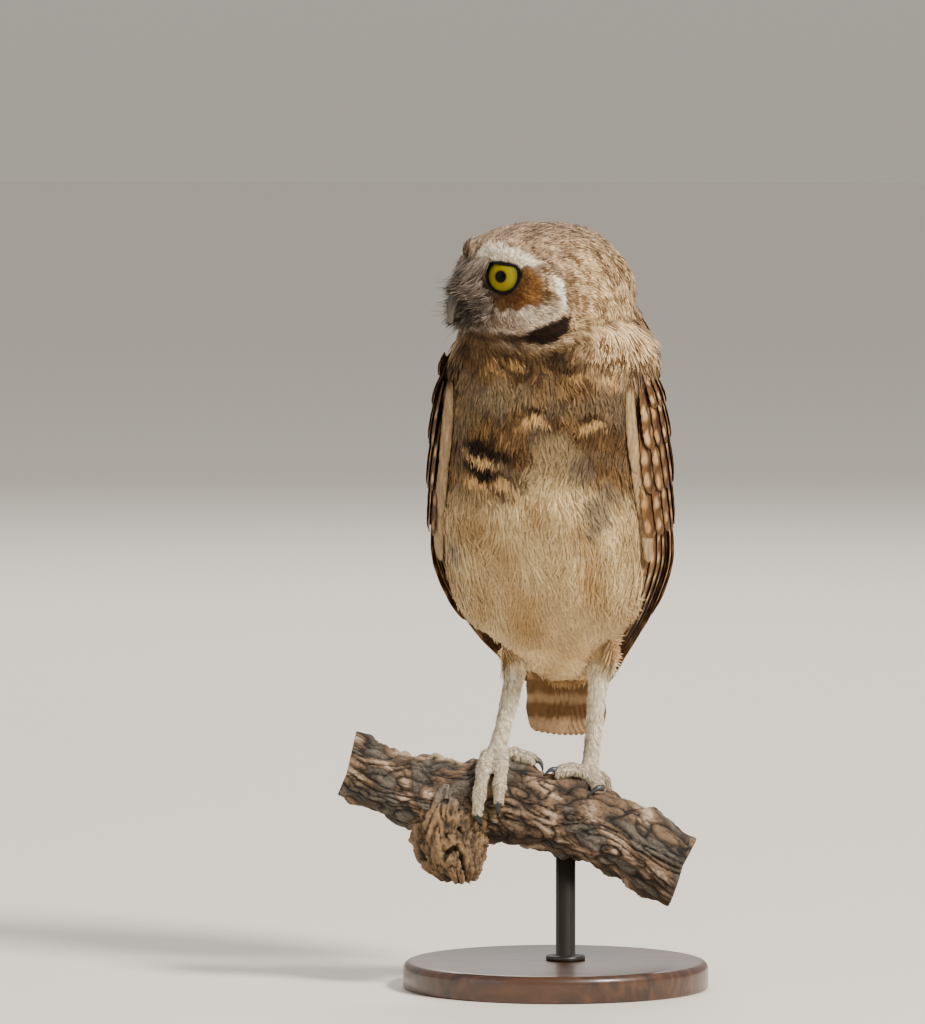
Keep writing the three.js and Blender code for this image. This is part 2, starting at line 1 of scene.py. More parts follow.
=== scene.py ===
# %% [markdown]
# # A burrowing owl on a cut branch, life size
#
# The bird stands on a short length of branch with its head turned to its right. The frame holds its solids,
# with each wing feather and tail feather as a plain vane. Here the bird gets one skin, a coat of small
# feathers over it, finer wings and tail, wet eyes, horn, bark and a display stand. All the working is in
# millimetres, as a bird modeller would measure, and `put` turns it into metres when a mesh is made.

# %% The frame
import bpy
import numpy as np
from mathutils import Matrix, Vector


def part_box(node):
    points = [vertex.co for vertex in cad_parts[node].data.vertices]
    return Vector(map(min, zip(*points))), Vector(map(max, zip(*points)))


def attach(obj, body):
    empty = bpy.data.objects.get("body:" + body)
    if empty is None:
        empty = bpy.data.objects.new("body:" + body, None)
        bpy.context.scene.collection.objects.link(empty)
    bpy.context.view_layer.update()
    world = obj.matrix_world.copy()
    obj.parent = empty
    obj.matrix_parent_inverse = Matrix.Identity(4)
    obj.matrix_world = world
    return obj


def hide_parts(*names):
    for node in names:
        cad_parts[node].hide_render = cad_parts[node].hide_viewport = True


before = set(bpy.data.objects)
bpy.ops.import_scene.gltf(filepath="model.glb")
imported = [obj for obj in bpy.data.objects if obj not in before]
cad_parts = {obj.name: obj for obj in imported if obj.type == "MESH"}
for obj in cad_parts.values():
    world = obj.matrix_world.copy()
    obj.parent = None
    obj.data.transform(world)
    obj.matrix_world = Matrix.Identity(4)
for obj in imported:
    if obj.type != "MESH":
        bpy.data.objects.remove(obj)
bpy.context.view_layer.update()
MM = 0.001
BODY = "root"

# %% [markdown]
# ## The measurements
#
# The solids were drawn from a few station tables: height by height for the body, and place by place for the
# branch. They are repeated here, so that each fine surface lies where its solid does. Heights are measured
# from the level of the feet.

# %% Station tables
FEET = 88.0
BODY_TABLE = [  # height, half width, reach to the front, reach to the back, middle across
    [37, 10, -16, 37, -2],
    [45, 18, 3, 36, -2],
    [53, 26, 15, 36, -2],
    [64, 37.5, 27, 41, -3],
    [78, 44.5, 35.5, 46.5, -3],
    [96, 46.8, 40, 47, -3],
    [116, 46.5, 41.5, 45.5, -3],
    [138, 45, 40.5, 42.5, -3],
    [156, 43.5, 38, 38.5, -2.5],
    [166, 41.5, 35, 33, -1.5],
    [174, 40.5, 34.5, 32, -1.5],
    [183, 37.5, 31.5, 30, -2.5],
    [193, 30, 24, 24, -4],
]
MANTLE_TABLE = [  # where a folded wing lies: height, half width, half depth, distance back
    [14, 12, 16, 31],
    [34, 17.2, 20, 25.5],
    [49, 25, 25, 19.5],
    [66, 36.4, 30.5, 13.5],
    [86, 44.4, 37, 7.5],
    [110, 44.6, 39.2, 3.5],
    [136, 43.2, 38.5, 2],
    [162, 39.5, 34, 0],
    [172, 35, 30, -1],
]
MANTLE_CENTRE = -3.0
WING_EDGES = [  # height, front edge and back edge in degrees round the body from the breast
    [33, 104, 140],
    [40, 80, 146],
    [50, 68, 146],
    [60, 64, 146],
    [72, 62, 150],
    [86, 61, 160],
    [110, 60, 168],
    [136, 60, 167],
    [160, 66, 158],
    [168, 78, 140],
]
BRANCH_TABLE = [  # place along, height of the middle, radius
    [-84, 3, 12.5],
    [-62, -7, 14],
    [-40, -11, 15.5],
    [-20, -12.5, 16],
    [-5, -16, 16],
    [15, -22, 15.5],
    [35, -31.5, 15],
    [50, -41, 15.5],
]
HEAD = dict(centre=(-5.5, -7, 195), turn=-48, wide=35.5, front=33, back=39, up=29, down=29)
EYE = dict(radius=9.4, forward=21.2, apart=12.6, up=6.4, toe_out=36)
BILL = dict(root=29, up=3.5, reach=12, drop=16, wide=4.6, deep=5)
TAIL = dict(root=(33, 76), tip=(43.5, 11), centre=-3.8, root_wide=11.8, tip_wide=17.2)
PERCH_TURN = 12
TOE = dict(radius=3.5, tip=3.1, claw=1.6)
TOES = {
    "right": [
        dict(name="outer", along=(-27, -31.8), round=(12, 104), claw=9, bend=0.45, aim=0.5),
        dict(name="middle", along=(-24.2, -23.5), round=(12, 88), claw=9),
        dict(name="inner", along=(-20.5, -12.5), round=(-4, 8), claw=7),
        dict(name="hind", along=(-25, -27), round=(-18, -88), claw=9),
    ],
    "left": [
        dict(name="inner", along=(5.5, -4.8), round=(4, 20), claw=7),
        dict(name="middle", along=(9, 12.6), round=(6, 30), claw=9, aim=-1.8),
        dict(name="outer", along=(11, 18), round=(-12, -62), claw=10),
        dict(name="hind", along=(6.5, 2.5), round=(-18, -82), claw=9),
    ],
}
LEGS = {
    "right": dict(knee=(-20, -8, 76), heel=(-18, 13, 48), along=-25),
    "left": dict(knee=(19, -8, 74), heel=(16, 13, 48), along=7.5),
}
LEG = dict(knee=12, heel=6.2, above_bark=5.5)
print("stations:", len(BODY_TABLE), "body,", len(MANTLE_TABLE), "mantle,", len(BRANCH_TABLE), "branch")

# %% [markdown]
# ## Smooth values between stations, and grids of points
#
# A station table is read with a cubic curve, so the body swells without corners. Every surface here is a grid
# of points worked out as whole arrays. A grid becomes a mesh by joining each point to its neighbours.


# %% Numbers and grids
def smooth(x, low, high):
    """0 below low, 1 above high, and 3t^2 - 2t^3 between, with t = (x - low) / (high - low)."""
    t = np.clip((x - low) / (high - low), 0, 1)
    return t * t * (3 - 2 * t)


def stations(table, x):
    """Cubic Hermite values of each column at x. A station's slope is the rise between its neighbours."""
    rows = np.asarray(table, float)
    keys, values = rows[:, 0], rows[:, 1:]
    x = np.clip(np.asarray(x, float), keys[0], keys[-1])
    last = len(keys) - 1
    i = np.clip(np.searchsorted(keys, x, side="right") - 1, 0, last - 1)
    before, after = np.maximum(i - 1, 0), np.minimum(i + 2, last)
    step = (keys[i + 1] - keys[i])[..., None]
    slope_a = (values[i + 1] - values[before]) / (keys[i + 1] - keys[before])[..., None] * step
    slope_b = (values[after] - values[i]) / (keys[after] - keys[i])[..., None] * step
    t = (x - keys[i])[..., None] / step
    a, b = values[i], values[i + 1]
    t2, t3 = t**2, t**3
    value = (2 * t3 - 3 * t2 + 1) * a + (t3 - 2 * t2 + t) * slope_a
    value = value + (3 * t2 - 2 * t3) * b + (t3 - t2) * slope_b
    return np.moveaxis(value, -1, 0)


def unit(v):
    """Each vector divided by its length."""
    return v / np.maximum(np.linalg.norm(v, axis=-1, keepdims=True), 1e-9)


def turn_z(degrees):
    """The matrix that turns a point by an angle about the upright axis."""
    a = np.radians(degrees)
    return np.array([[np.cos(a), -np.sin(a), 0], [np.sin(a), np.cos(a), 0], [0, 0, 1]])


def points(x, y, z):
    """Three arrays stacked as points, after they are spread to one shape."""
    return np.stack(np.broadcast_arrays(x, y, z), axis=-1).astype(float)


def grid_faces(rows, columns, round_rows=False):
    """Quads of a grid whose rows are closed rings. A quad joins a point to the next in its ring and to both
    in the next ring, and `round_rows` joins the last ring to the first."""
    i = np.arange(rows if round_rows else rows - 1)[:, None]
    j = np.arange(columns)[None, :]
    i2, j2 = (i + 1) % rows, (j + 1) % columns
    corners = (i * columns + j, i * columns + j2, i2 * columns + j2, i2 * columns + j)
    return np.stack(np.broadcast_arrays(*corners), -1).reshape(-1, 4)


def ring_faces(rings, round_rows=False):
    """The quads between rings of points."""
    return grid_faces(*rings.shape[:2], round_rows=round_rows)


def closed(rings):
    """The rings with one more at each end, drawn in to a point: the mean of the first and of the last."""
    ends = [np.broadcast_to(rings[k].mean(axis=0), rings[k].shape)[None] for k in (0, -1)]
    return np.concatenate([ends[0], rings, ends[1]])


def put(name, xyz, faces, material=None, body=BODY, soft=True):
    """A mesh object at the origin from points in millimetres and faces with equal numbers of corners."""
    mesh = bpy.data.meshes.new(name)
    xyz = np.asarray(xyz).reshape(-1, 3)
    faces = np.asarray(faces, np.int32)
    count, corners = faces.shape
    mesh.vertices.add(len(xyz))
    mesh.vertices.foreach_set("co", (xyz * MM).astype(np.float32).ravel())
    mesh.loops.add(count * corners)
    mesh.loops.foreach_set("vertex_index", faces.ravel())
    mesh.polygons.add(count)
    mesh.polygons.foreach_set("loop_start", np.arange(count, dtype=np.int32) * corners)
    mesh.update(calc_edges=True)
    mesh.polygons.foreach_set("use_smooth", np.full(count, soft))
    piece = bpy.data.objects.new(name, mesh)
    bpy.context.scene.collection.objects.link(piece)
    if material:
        mesh.materials.append(material)
    if body:
        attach(piece, body)
    print(name, len(xyz), "points,", count, "faces")
    return piece


def tube(path, radii, sides):
    """Rings about a path: middle + radius * (side cos a + across sin a). Its ends close to a point."""
    path, radii = np.asarray(path, float), np.asarray(radii, float)
    along = unit(np.gradient(path, axis=0))
    side = np.zeros_like(path)
    last = np.array([1.0, 0, 0]) if abs(along[0][0]) < 0.9 else np.array([0, 1.0, 0])
    for k in range(len(path)):
        last = unit(last - along[k] * (last @ along[k]))
        side[k] = last
    across = np.cross(along, side)
    a = np.linspace(0, 2 * np.pi, sides, endpoint=False)[None, :, None]
    rings = path[:, None] + radii[:, None, None] * (side[:, None] * np.cos(a) + across[:, None] * np.sin(a))
    ends = [np.repeat(path[k][None, None], sides, 1) for k in (0, -1)]
    return np.concatenate([ends[0], rings, ends[1]])


def join(parts):
    """Pairs of points and faces as one: each part's faces count on from the points before it."""
    xyz, faces, start = [], [], 0
    for part, quads in parts:
        part = part.reshape(-1, 3)
        xyz.append(part)
        faces.append(quads + start)
        start += len(part)
    return np.concatenate(xyz), np.concatenate(faces)


print("helpers ready")

# %% [markdown]
# ## Colours and markings
#
# A feather coat is coloured feather by feather, so the colour is stored on the mesh as an attribute and the
# material reads it. Colours are written as they look on a screen and turned into light values.


# %% Paint
def paint(text):
    """A #rrggbb colour as linear light: ((c + 0.055) / 1.055) ^ 2.4 above 0.04045."""
    c = np.array([int(text[k : k + 2], 16) for k in (1, 3, 5)]) / 255
    return np.where(c > 0.04045, ((c + 0.055) / 1.055) ** 2.4, c / 12.92)


def mix(a, b, t):
    """a + (b - a) t, for colours and a weight for each point."""
    t = np.asarray(t, float)
    return a + (b - a) * t[..., None]


def set_colours(piece, colours, name="plumage"):
    """Stores a linear colour for each point."""
    layer = piece.data.color_attributes.new(name, "FLOAT_COLOR", "POINT")
    colours = colours.reshape(-1, 3)
    full = np.concatenate([colours, np.ones((len(colours), 1))], axis=1)
    layer.data.foreach_set("color", full.astype(np.float32).ravel())


def set_uv(piece, uv, name):
    """Stores a place on a map for each point, copied to every corner that uses it."""
    layer = piece.data.uv_layers.new(name=name)
    corner = np.empty(len(piece.data.loops), np.int32)
    piece.data.loops.foreach_get("vertex_index", corner)
    layer.data.foreach_set("uv", uv[corner].astype(np.float32).ravel())


def noise(p, scale, seed=0):
    """A smooth field between about -1 and 1: a third of the sum of six sine waves in seeded directions."""
    waves = np.random.default_rng(seed)
    total = np.zeros(p.shape[:-1])
    for _ in range(6):
        direction = unit(waves.normal(size=3)) * waves.uniform(0.7, 1.5) * 2 * np.pi / scale
        total = total + np.sin(p @ direction + waves.uniform(0, 6.28))
    return total / 3


BROWN = paint("#6a4c2e")
DARK = paint("#3a2614")
PALE = paint("#c8a877")
WHITE = paint("#efe6d6")
print("palette ready")

# %% [markdown]
# ## Building a material
#
# Every material here starts from the one standard shader and a few nodes: a noise or a wave, a colour ramp,
# a bump. These helpers add a node with its numbers in one line, so that a material reads as a short recipe.


# %% Material helpers
def new_material(name):
    """An empty node material with its nodes, its links and its shader."""
    material = bpy.data.materials.new(name)
    material.use_nodes = True
    tree = material.node_tree
    return material, tree.nodes, tree.links, tree.nodes["Principled BSDF"]


def set_inputs(node, **values):
    """Sets a node's inputs by name, with _ written for a space."""
    for name, value in values.items():
        node.inputs[name.replace("_", " ")].default_value = value


def add_node(nodes, kind, **values):
    """A new node of a kind with these inputs."""
    node = nodes.new("ShaderNode" + kind)
    set_inputs(node, **values)
    return node


def object_noise(nodes, links, **values):
    """Noise that lies still in the object."""
    where = nodes.new("ShaderNodeTexCoord")
    texture = add_node(nodes, "TexNoise", **values)
    links.new(where.outputs["Object"], texture.inputs["Vector"])
    return texture


def stored_colour(nodes, links, shader, layer, texture, weakest, strongest):
    """The mesh's own colour into the shader, times a texture's value from 0.3 to 0.7 mapped to a span."""
    colour = nodes.new("ShaderNodeAttribute")
    colour.attribute_name = layer
    level = add_node(nodes, "MapRange", From_Min=0.3, From_Max=0.7, To_Min=weakest, To_Max=strongest)
    links.new(texture.outputs["Fac"], level.inputs["Value"])
    tone = nodes.new("ShaderNodeVectorMath")
    tone.operation = "SCALE"
    links.new(colour.outputs["Color"], tone.inputs[0])
    links.new(level.outputs["Result"], tone.inputs["Scale"])
    links.new(tone.outputs["Vector"], shader.inputs["Base Color"])


def bump_from(nodes, links, shader, texture, strength, distance):
    """A texture's value as bump on the shader's normal, with the distance in metres."""
    bump = add_node(nodes, "Bump", Strength=strength, Distance=distance)
    links.new(texture.outputs["Fac"], bump.inputs["Height"])
    links.new(bump.outputs["Normal"], shader.inputs["Normal"])


def colour_ramp(nodes, *stops):
    """A colour ramp through stops, each a place from 0 to 1 and a linear colour."""
    node = nodes.new("ShaderNodeValToRGB")
    elements = node.color_ramp.elements
    while len(elements) < len(stops):
        elements.new(0.5)
    for element, (place, colour) in zip(elements, stops):
        element.position = place
        element.color = (*colour, 1)
    return node


print("material helpers ready")

# %% [markdown]
# ## Materials of the bird
#
# Feather colour comes from the mesh. The material adds what light does on barbs: little gloss and a soft
# sheen. Wing vanes get fine slanting barb lines from their own map as bump.


# %% Feather materials
def feather_material(name, roughness, sheen, barbs=0.0, grain=900.0):
    """Colour from the attribute with a little noise, and on vanes a wave along the barbs as bump."""
    material, nodes, links, shader = new_material(name)
    speck = object_noise(nodes, links, Scale=grain, Detail=3)
    stored_colour(nodes, links, shader, "plumage", speck, 0.82, 1.16)
    set_inputs(shader, Roughness=roughness, Sheen_Weight=sheen, Sheen_Roughness=0.5, Specular_IOR_Level=0.15)
    if barbs:
        vane = nodes.new("ShaderNodeUVMap")
        vane.uv_map = "Vane"
        lines = add_node(nodes, "TexWave", Scale=barbs, Distortion=1.5, Detail=2)
        links.new(vane.outputs["UV"], lines.inputs["Vector"])
        bump_from(nodes, links, shader, lines, 0.35, 0.0002)
    return material


DOWN = feather_material("downy_feathers", 0.9, 0.06)
VANES = feather_material("feather_vanes", 0.7, 0.04, barbs=14.0, grain=500.0)
SKIN = feather_material("feathered_skin", 0.9, 0.03, grain=1400.0)
print("materials:", [m.name for m in (DOWN, VANES, SKIN)])

# %% [markdown]
# ## The forms under the coat
#
# The skin follows the solids but lies a coat's depth inside them. The body is a stack of rounded rings, the
# head a ball whose radius changes with direction, and the legs are tubes. On the head's ball, smooth humps
# and hollows make the brows, the bill's root, the cheeks and the eye sockets.


# %% Body, head and leg forms
def body_rings(heights, sides, inset):
    """Ring at each height: middle + half width * cos and half depth * sin, swollen to a power-2.3 oval."""
    wide, front, back, middle = stations(BODY_TABLE, heights)
    a = np.linspace(0, 2 * np.pi, sides, endpoint=False)[None, :]
    c, s = np.cos(a), np.sin(a)
    swell = (np.abs(c) ** 2.3 + np.abs(s) ** 2.3) ** (-1 / 2.3)
    wide, deep = (wide - inset)[:, None], ((front + back) / 2 - inset)[:, None]
    y = ((back - front) / 2)[:, None] + deep * s * swell
    return points(middle[:, None] + wide * c * swell, y, (heights + FEET)[:, None])


HEAD_CENTRE = np.array(HEAD["centre"]) + [0, 0, FEET]
HEAD_MATRIX = turn_z(HEAD["turn"])
HEAD_DEPTH = 1.7
HEAD_HUMPS = [  # rise, degrees round from the bill, degrees up, half width, half height
    (-3.2, 29, 7, 17, 15),  # eye hollow
    (2.6, 25, 29, 27, 8),  # brow
    (2.4, 0, -6, 11, 20),  # root of the bill
    (2.6, 33, -25, 24, 11),  # cheek
    (1.5, 20, 38, 28, 12),  # forehead
    (-1.8, 150, 28, 34, 18),  # back of the crown
    (1.9, 13, 13, 8, 13),  # bridge between eye and bill
    (1.8, 64, 0, 8, 26),  # rim of the facial disc
]


def from_head(p):
    """A point in the head's own frame (x to its left, y back, z up) placed in the bird."""
    return p @ HEAD_MATRIX.T + HEAD_CENTRE


def to_head(p):
    """The other way round."""
    return (p - HEAD_CENTRE) @ HEAD_MATRIX


def hump(az, el, az0, el0, wide, high):
    """A smooth swelling: exp(-((az - az0) / wide)^2 - ((el - el0) / high)^2)."""
    return np.exp(-(((az - az0) / wide) ** 2) - ((el - el0) / high) ** 2)


def head_radius(az, el):
    """A power-2.25 ball, (sum of |part / half axis|^2.25)^(-1 / 2.25), plus the humps on both sides."""
    a, e = np.radians(az), np.radians(el)
    left, ahead, up = np.cos(e) * np.sin(a), np.cos(e) * np.cos(a), np.sin(e)
    reach = np.where(ahead > 0, HEAD["front"], HEAD["back"])
    rise = np.where(up > 0, HEAD["up"], HEAD["down"])
    total = (np.abs(left) / HEAD["wide"]) ** 2.25 + (np.abs(ahead) / reach) ** 2.25
    total = total + (np.abs(up) / rise) ** 2.25
    radius = total ** (-1 / 2.25)
    for height, *place in HEAD_HUMPS:
        radius = radius + height * hump(np.abs(az), el, *place)
    return radius


def head_surface(az, el, inset):
    """The point at a bearing and height on the head, drawn in by the inset."""
    r = head_radius(az, el) - inset
    a, e = np.radians(az), np.radians(el)
    return from_head(points(r * np.cos(e) * np.sin(a), -r * np.cos(e) * np.cos(a), r * np.sin(e)))


def bark_relief(along, a):
    """Three sine waves over the branch, which the solids share."""
    low = 0.7 * np.sin(along * 0.21 + 2.1 * a) + 0.5 * np.sin(along * 0.37 - 3 * a + 1.3)
    return low + 0.35 * np.sin(along * 0.83 + 5 * a)


def on_branch(along, degrees, off):
    """A point of the branch: its middle plus the radius, turned from its top towards the front."""
    along, degrees, off = np.broadcast_arrays(np.asarray(along, float), degrees, off)
    height, radius = stations(BRANCH_TABLE, along)
    before, after = stations(BRANCH_TABLE, along - 1)[0], stations(BRANCH_TABLE, along + 1)[0]
    slope = np.arctan2(after - before, 2)
    a = np.radians(degrees)
    r = radius + bark_relief(along, a) + off
    x = along - r * np.cos(a) * np.sin(slope)
    z = height + r * np.cos(a) * np.cos(slope)
    return points(x, -r * np.sin(a), z + FEET) @ turn_z(PERCH_TURN).T


def toe_path(toe, start, end, off, count=12):
    """Points over the bark from the toe's root to its end."""
    t = np.linspace(start, end, count)
    along = toe["along"][0] + (toe["along"][1] - toe["along"][0]) * np.maximum(t, 0) ** toe.get("bend", 1)
    degrees = toe["round"][0] + (toe["round"][1] - toe["round"][0]) * t
    return on_branch(along, degrees, off)


def toe_form(toe):
    """A tube with three swollen joints and a round end: radius - 0.95 + 0.6 cos^2(9 t)."""
    t = np.linspace(0, 1, 16)
    radii = TOE["radius"] + (TOE["tip"] - TOE["radius"]) * t - 0.95 + 0.6 * np.cos(t * 9) ** 2
    radii = radii * np.sqrt(np.clip(1 - smooth(t, 0.86, 1.06) ** 2 * 0.8, 0.05, 1))
    return tube(toe_path(toe, 0, 1, TOE["radius"] - 0.5, 16), radii, 16)


def leg_forms(side):
    """Thigh, shank, knuckle and toes of one leg, as closed tubes."""
    leg = LEGS[side]
    knee, heel = [np.array(leg[k]) + [0, 0, FEET] for k in ("knee", "heel")]
    foot = on_branch(leg["along"], 0, LEG["above_bark"])
    t = np.linspace(0, 1, 12)[:, None]
    taper = (LEG["knee"] + (LEG["heel"] - LEG["knee"]) * np.sqrt(t[:, 0])) - 1.2
    thigh = tube(knee + (heel - knee) * t, taper, 20)
    bend = np.array([0, 1.0, 0]) * np.sin(t * np.pi) * 0.6
    shank = heel + (foot - heel) * (t * 1.06 - 0.06) + bend
    thick = stations([[0, 5.4], [0.12, 4.9], [0.25, 3.9], [0.5, 3.2], [0.8, 3.0], [1, 3.5]], t[:, 0])[0]
    knuckle = on_branch(leg["along"], 0, np.linspace(LEG["above_bark"] + 2, 0.5, 5))
    forms = [thigh, tube(shank, thick, 20), tube(knuckle, [3.5, 3.9, 4.2, 4.2, 3.8], 20)]
    return forms + [toe_form(toe) for toe in TOES[side]]


def eye_axis(side):
    """Centre and outward direction of an eye in the head's frame."""
    a = np.radians(side * EYE["toe_out"])
    return np.array([side * EYE["apart"], -EYE["forward"], EYE["up"]]), np.array([np.sin(a), -np.cos(a), 0.0])


def place_eye(local, side):
    """From the eye's own frame (x across, -y out, z up) to the bird."""
    return from_head(local @ turn_z(side * EYE["toe_out"]).T + eye_axis(side)[0])


LID = dict(wide=6.75, high=6.15, top=4.7, fall=0.1, inner=2.1, outer=0.8)
SOCKET = [[0, 5.4], [6.6, 5.5], [7.6, 5.9], [8.8, 5.5], [10.6, 4.3], [12.6, 2.2], [13.2, -2], [0, -2]]


def lid_radius(a):
    """Distance of the lids' edge from the eye's axis: an oval, cut by a falling line above, and drawn out to
    a point at the inner corner and a little at the outer one. The angle runs from the outer side upwards."""
    oval = 1 / np.sqrt((np.cos(a) / LID["wide"]) ** 2 + (np.sin(a) / LID["high"]) ** 2)
    line = LID["top"] / np.maximum(np.sin(a) + LID["fall"] * np.cos(a), 0.05)
    inner = np.angle(np.exp(1j * (a - 2.62))) / 0.26
    outer = np.angle(np.exp(1j * (a - 0.2))) / 0.3
    return np.minimum(oval, line) + LID["inner"] * np.exp(-(inner**2)) + LID["outer"] * np.exp(-(outer**2))


def eye_forms(side):
    """Flesh round an eye: a low cone spun round the eye's axis, and the upper lid, which is the part of a
    slightly larger ball above the line that cuts the eye's opening."""
    a = np.linspace(0, 2 * np.pi, 40, endpoint=False)[None, :]
    profile = np.array(SOCKET, float)
    cone = points(profile[:, :1] * np.cos(a), -profile[:, 1:] + 0 * a, profile[:, :1] * np.sin(a))
    z = np.linspace(LID["top"] + 0.9, 9.75, 12)[:, None]
    r = np.sqrt(np.maximum(9.8**2 - z**2, 0.01))
    fall = LID["fall"] * side * r * np.cos(a) * smooth(9.75 - z, 0, 4)
    cap = points(r * np.cos(a), r * np.sin(a), z - fall)
    cap = np.concatenate([cap[:1] * [0, 0, 1] + 0.0, cap, cap[-1:] * [0, 0, 1]])
    return [place_eye(cone, side), place_eye(cap, side)]


print("head reaches", head_radius(np.array([0.0]), np.array([0.0])), "mm forward")

# %% [markdown]
# ## One skin
#
# On the real bird the skin runs without a seam from crown to toes. Closed forms that overlap are turned into
# one surface by a voxel remesh, which keeps only what is outside, and a light smoothing melts the joints.
# That is simpler than sewing rings of different counts together by hand.


# %% Skin
SKIN_VOXEL = 0.86
SKIN_SMOOTHINGS = 5


def nape_form():
    """An oval swelling that fills the hollow between the back of the head and the shoulder: a unit sphere
    times its size, plus its centre."""
    up = np.radians(np.linspace(-90, 90, 24))[:, None]
    round_it = np.linspace(0, 2 * np.pi, 32, endpoint=False)[None, :]
    ball = points(np.cos(up) * np.cos(round_it), np.cos(up) * np.sin(round_it), np.sin(up) + 0 * round_it)
    return ball * [10.5, 12.0, 13.0] + [22.0, 6.1, 182.0 + FEET]


def skin_forms():
    """Body, head and legs as closed grids."""
    heights = np.concatenate([[37.5], np.linspace(38, 192.5, 60), [192.8]])
    inset = 2.2 + 1.2 * smooth(heights, 175, 120) + 1.3 * smooth(heights, 110, 80)
    inset = np.where(heights < 45, 2.5, inset)
    rings = body_rings(heights, 72, inset)
    for end in (0, -1):
        rings[end] = rings[end].mean(axis=0)
    forms = [rings]
    el = np.linspace(-89, 89, 60)[:, None]
    az = np.linspace(-180, 180, 96, endpoint=False)[None, :]
    ball = head_surface(az, el, HEAD_DEPTH)
    for end in (0, -1):
        ball[end] = ball[end].mean(axis=0)
    forms.append(ball)
    forms.append(nape_form())
    return forms + eye_forms(1) + eye_forms(-1) + leg_forms("left") + leg_forms("right")


def mesh_arrays(mesh):
    """Points, normals and triangles of a mesh in millimetres."""
    count = len(mesh.vertices)
    xyz, normal = np.empty(count * 3, np.float32), np.empty(count * 3, np.float32)
    mesh.vertices.foreach_get("co", xyz)
    mesh.vertices.foreach_get("normal", normal)
    mesh.calc_loop_triangles()
    tri = np.empty(len(mesh.loop_triangles) * 3, np.int32)
    mesh.loop_triangles.foreach_get("vertices", tri)
    return xyz.reshape(-1, 3) / MM, normal.reshape(-1, 3), tri.reshape(-1, 3)


def remeshed(name, parts, voxel, rounds):
    """Joins closed grids by a voxel remesh and a smoothing, and returns the new object's mesh."""
    xyz, faces = join([(rings, ring_faces(rings)) for rings in parts])
    rough = put(name + "_rough", xyz, faces, body=None)
    remesh = rough.modifiers.new("remesh", "REMESH")
    remesh.mode = "VOXEL"
    remesh.voxel_size = voxel * MM
    relax = rough.modifiers.new("relax", "SMOOTH")
    relax.factor = 0.5
    relax.iterations = rounds
    made = bpy.data.meshes.new_from_object(rough.evaluated_get(bpy.context.evaluated_depsgraph_get()))
    bpy.data.objects.remove(rough)
    made.name = name
    return made


skin_mesh = remeshed("skin", skin_forms(), SKIN_VOXEL, SKIN_SMOOTHINGS)
skin_mesh.polygons.foreach_set("use_smooth", np.ones(len(skin_mesh.polygons), bool))
skin = bpy.data.objects.new("skin", skin_mesh)
bpy.context.scene.collection.objects.link(skin)
skin_mesh.materials.append(SKIN)
SKIN_XYZ, SKIN_NORMAL, SKIN_TRI = mesh_arrays(skin_mesh)
print("skin:", len(SKIN_XYZ), "points,", len(SKIN_TRI), "triangles")

# %% [markdown]
# ## Where feathers grow and which way they lie
#
# Feathers grow in rows all over the skin and lie back from the bill, down the body and out from each eye.
# Points are drawn evenly over the skin's triangles and thinned to one in each small cell, which keeps them
# apart. The lie is a direction field: it is flattened into the skin at each root.


# %% Roots and directions
def scatter(gap, keep, seed):
    """Random points in the kept triangles, by area, and of these the first in each cell of side `gap`."""
    draw = np.random.default_rng(seed)
    a, b, c = (SKIN_XYZ[SKIN_TRI[:, k]] for k in range(3))
    area = np.linalg.norm(np.cross(b - a, c - a), axis=1) / 2
    near = keep((a + b + c) / 3)
    area = np.where(near, area, 0)
    count = int(area.sum() / gap**2 * 4)
    tri = np.searchsorted(np.cumsum(area) / area.sum(), draw.random(count)).clip(0, len(area) - 1)
    u, v = np.sqrt(draw.random(count)), draw.random(count)
    weight = np.stack([1 - u, u * (1 - v), u * v], axis=1)[..., None]
    xyz = (SKIN_XYZ[SKIN_TRI[tri]] * weight).sum(axis=1)
    normal = unit((SKIN_NORMAL[SKIN_TRI[tri]] * weight).sum(axis=1))
    cell = np.floor(xyz / gap).astype(int)
    key = (cell[:, 0] * 4096 + cell[:, 1]) * 4096 + cell[:, 2]
    first = np.sort(np.unique(key, return_index=True)[1])
    return xyz[first], normal[first]


def bearing(q):
    """Degrees round the head from the bill towards its left, and degrees up, of a point in its frame."""
    az = np.degrees(np.arctan2(q[..., 0], -q[..., 1]))
    return az, np.degrees(np.arctan2(q[..., 2], np.hypot(q[..., 0], q[..., 1])))


def head_share(p):
    """1 on the head's ball and 0 on the body: how far the point lies outside the head's own surface."""
    q = to_head(p)
    az, el = bearing(q)
    return 1 - smooth(np.linalg.norm(q, axis=-1) - head_radius(az, el), -0.6, 3.5)


def from_eye(q, side):
    """Vector from an eye's axis to a point, square to the axis, and its length."""
    centre, axis = eye_axis(side)
    away = q - centre
    away = away - (away @ axis)[..., None] * axis
    return away, np.linalg.norm(away, axis=-1)


def lid_gap(q):
    """Distance outside the lids' edge, measured square to the eye's axis: r - lid radius at that angle."""
    gap = np.full(q.shape[:-1], 99.0)
    turn = np.radians(EYE["toe_out"])
    for side in (1, -1):
        away, r = from_eye(q, side)
        out = np.array([np.cos(turn), side * np.sin(turn), 0]) * side
        a = np.arctan2(away[..., 2], away @ out)
        near = (q[..., 1] < 4) & (q[..., 0] * side > -2)
        gap = np.where(near, np.minimum(gap, r - lid_radius(a)), gap)
    return gap


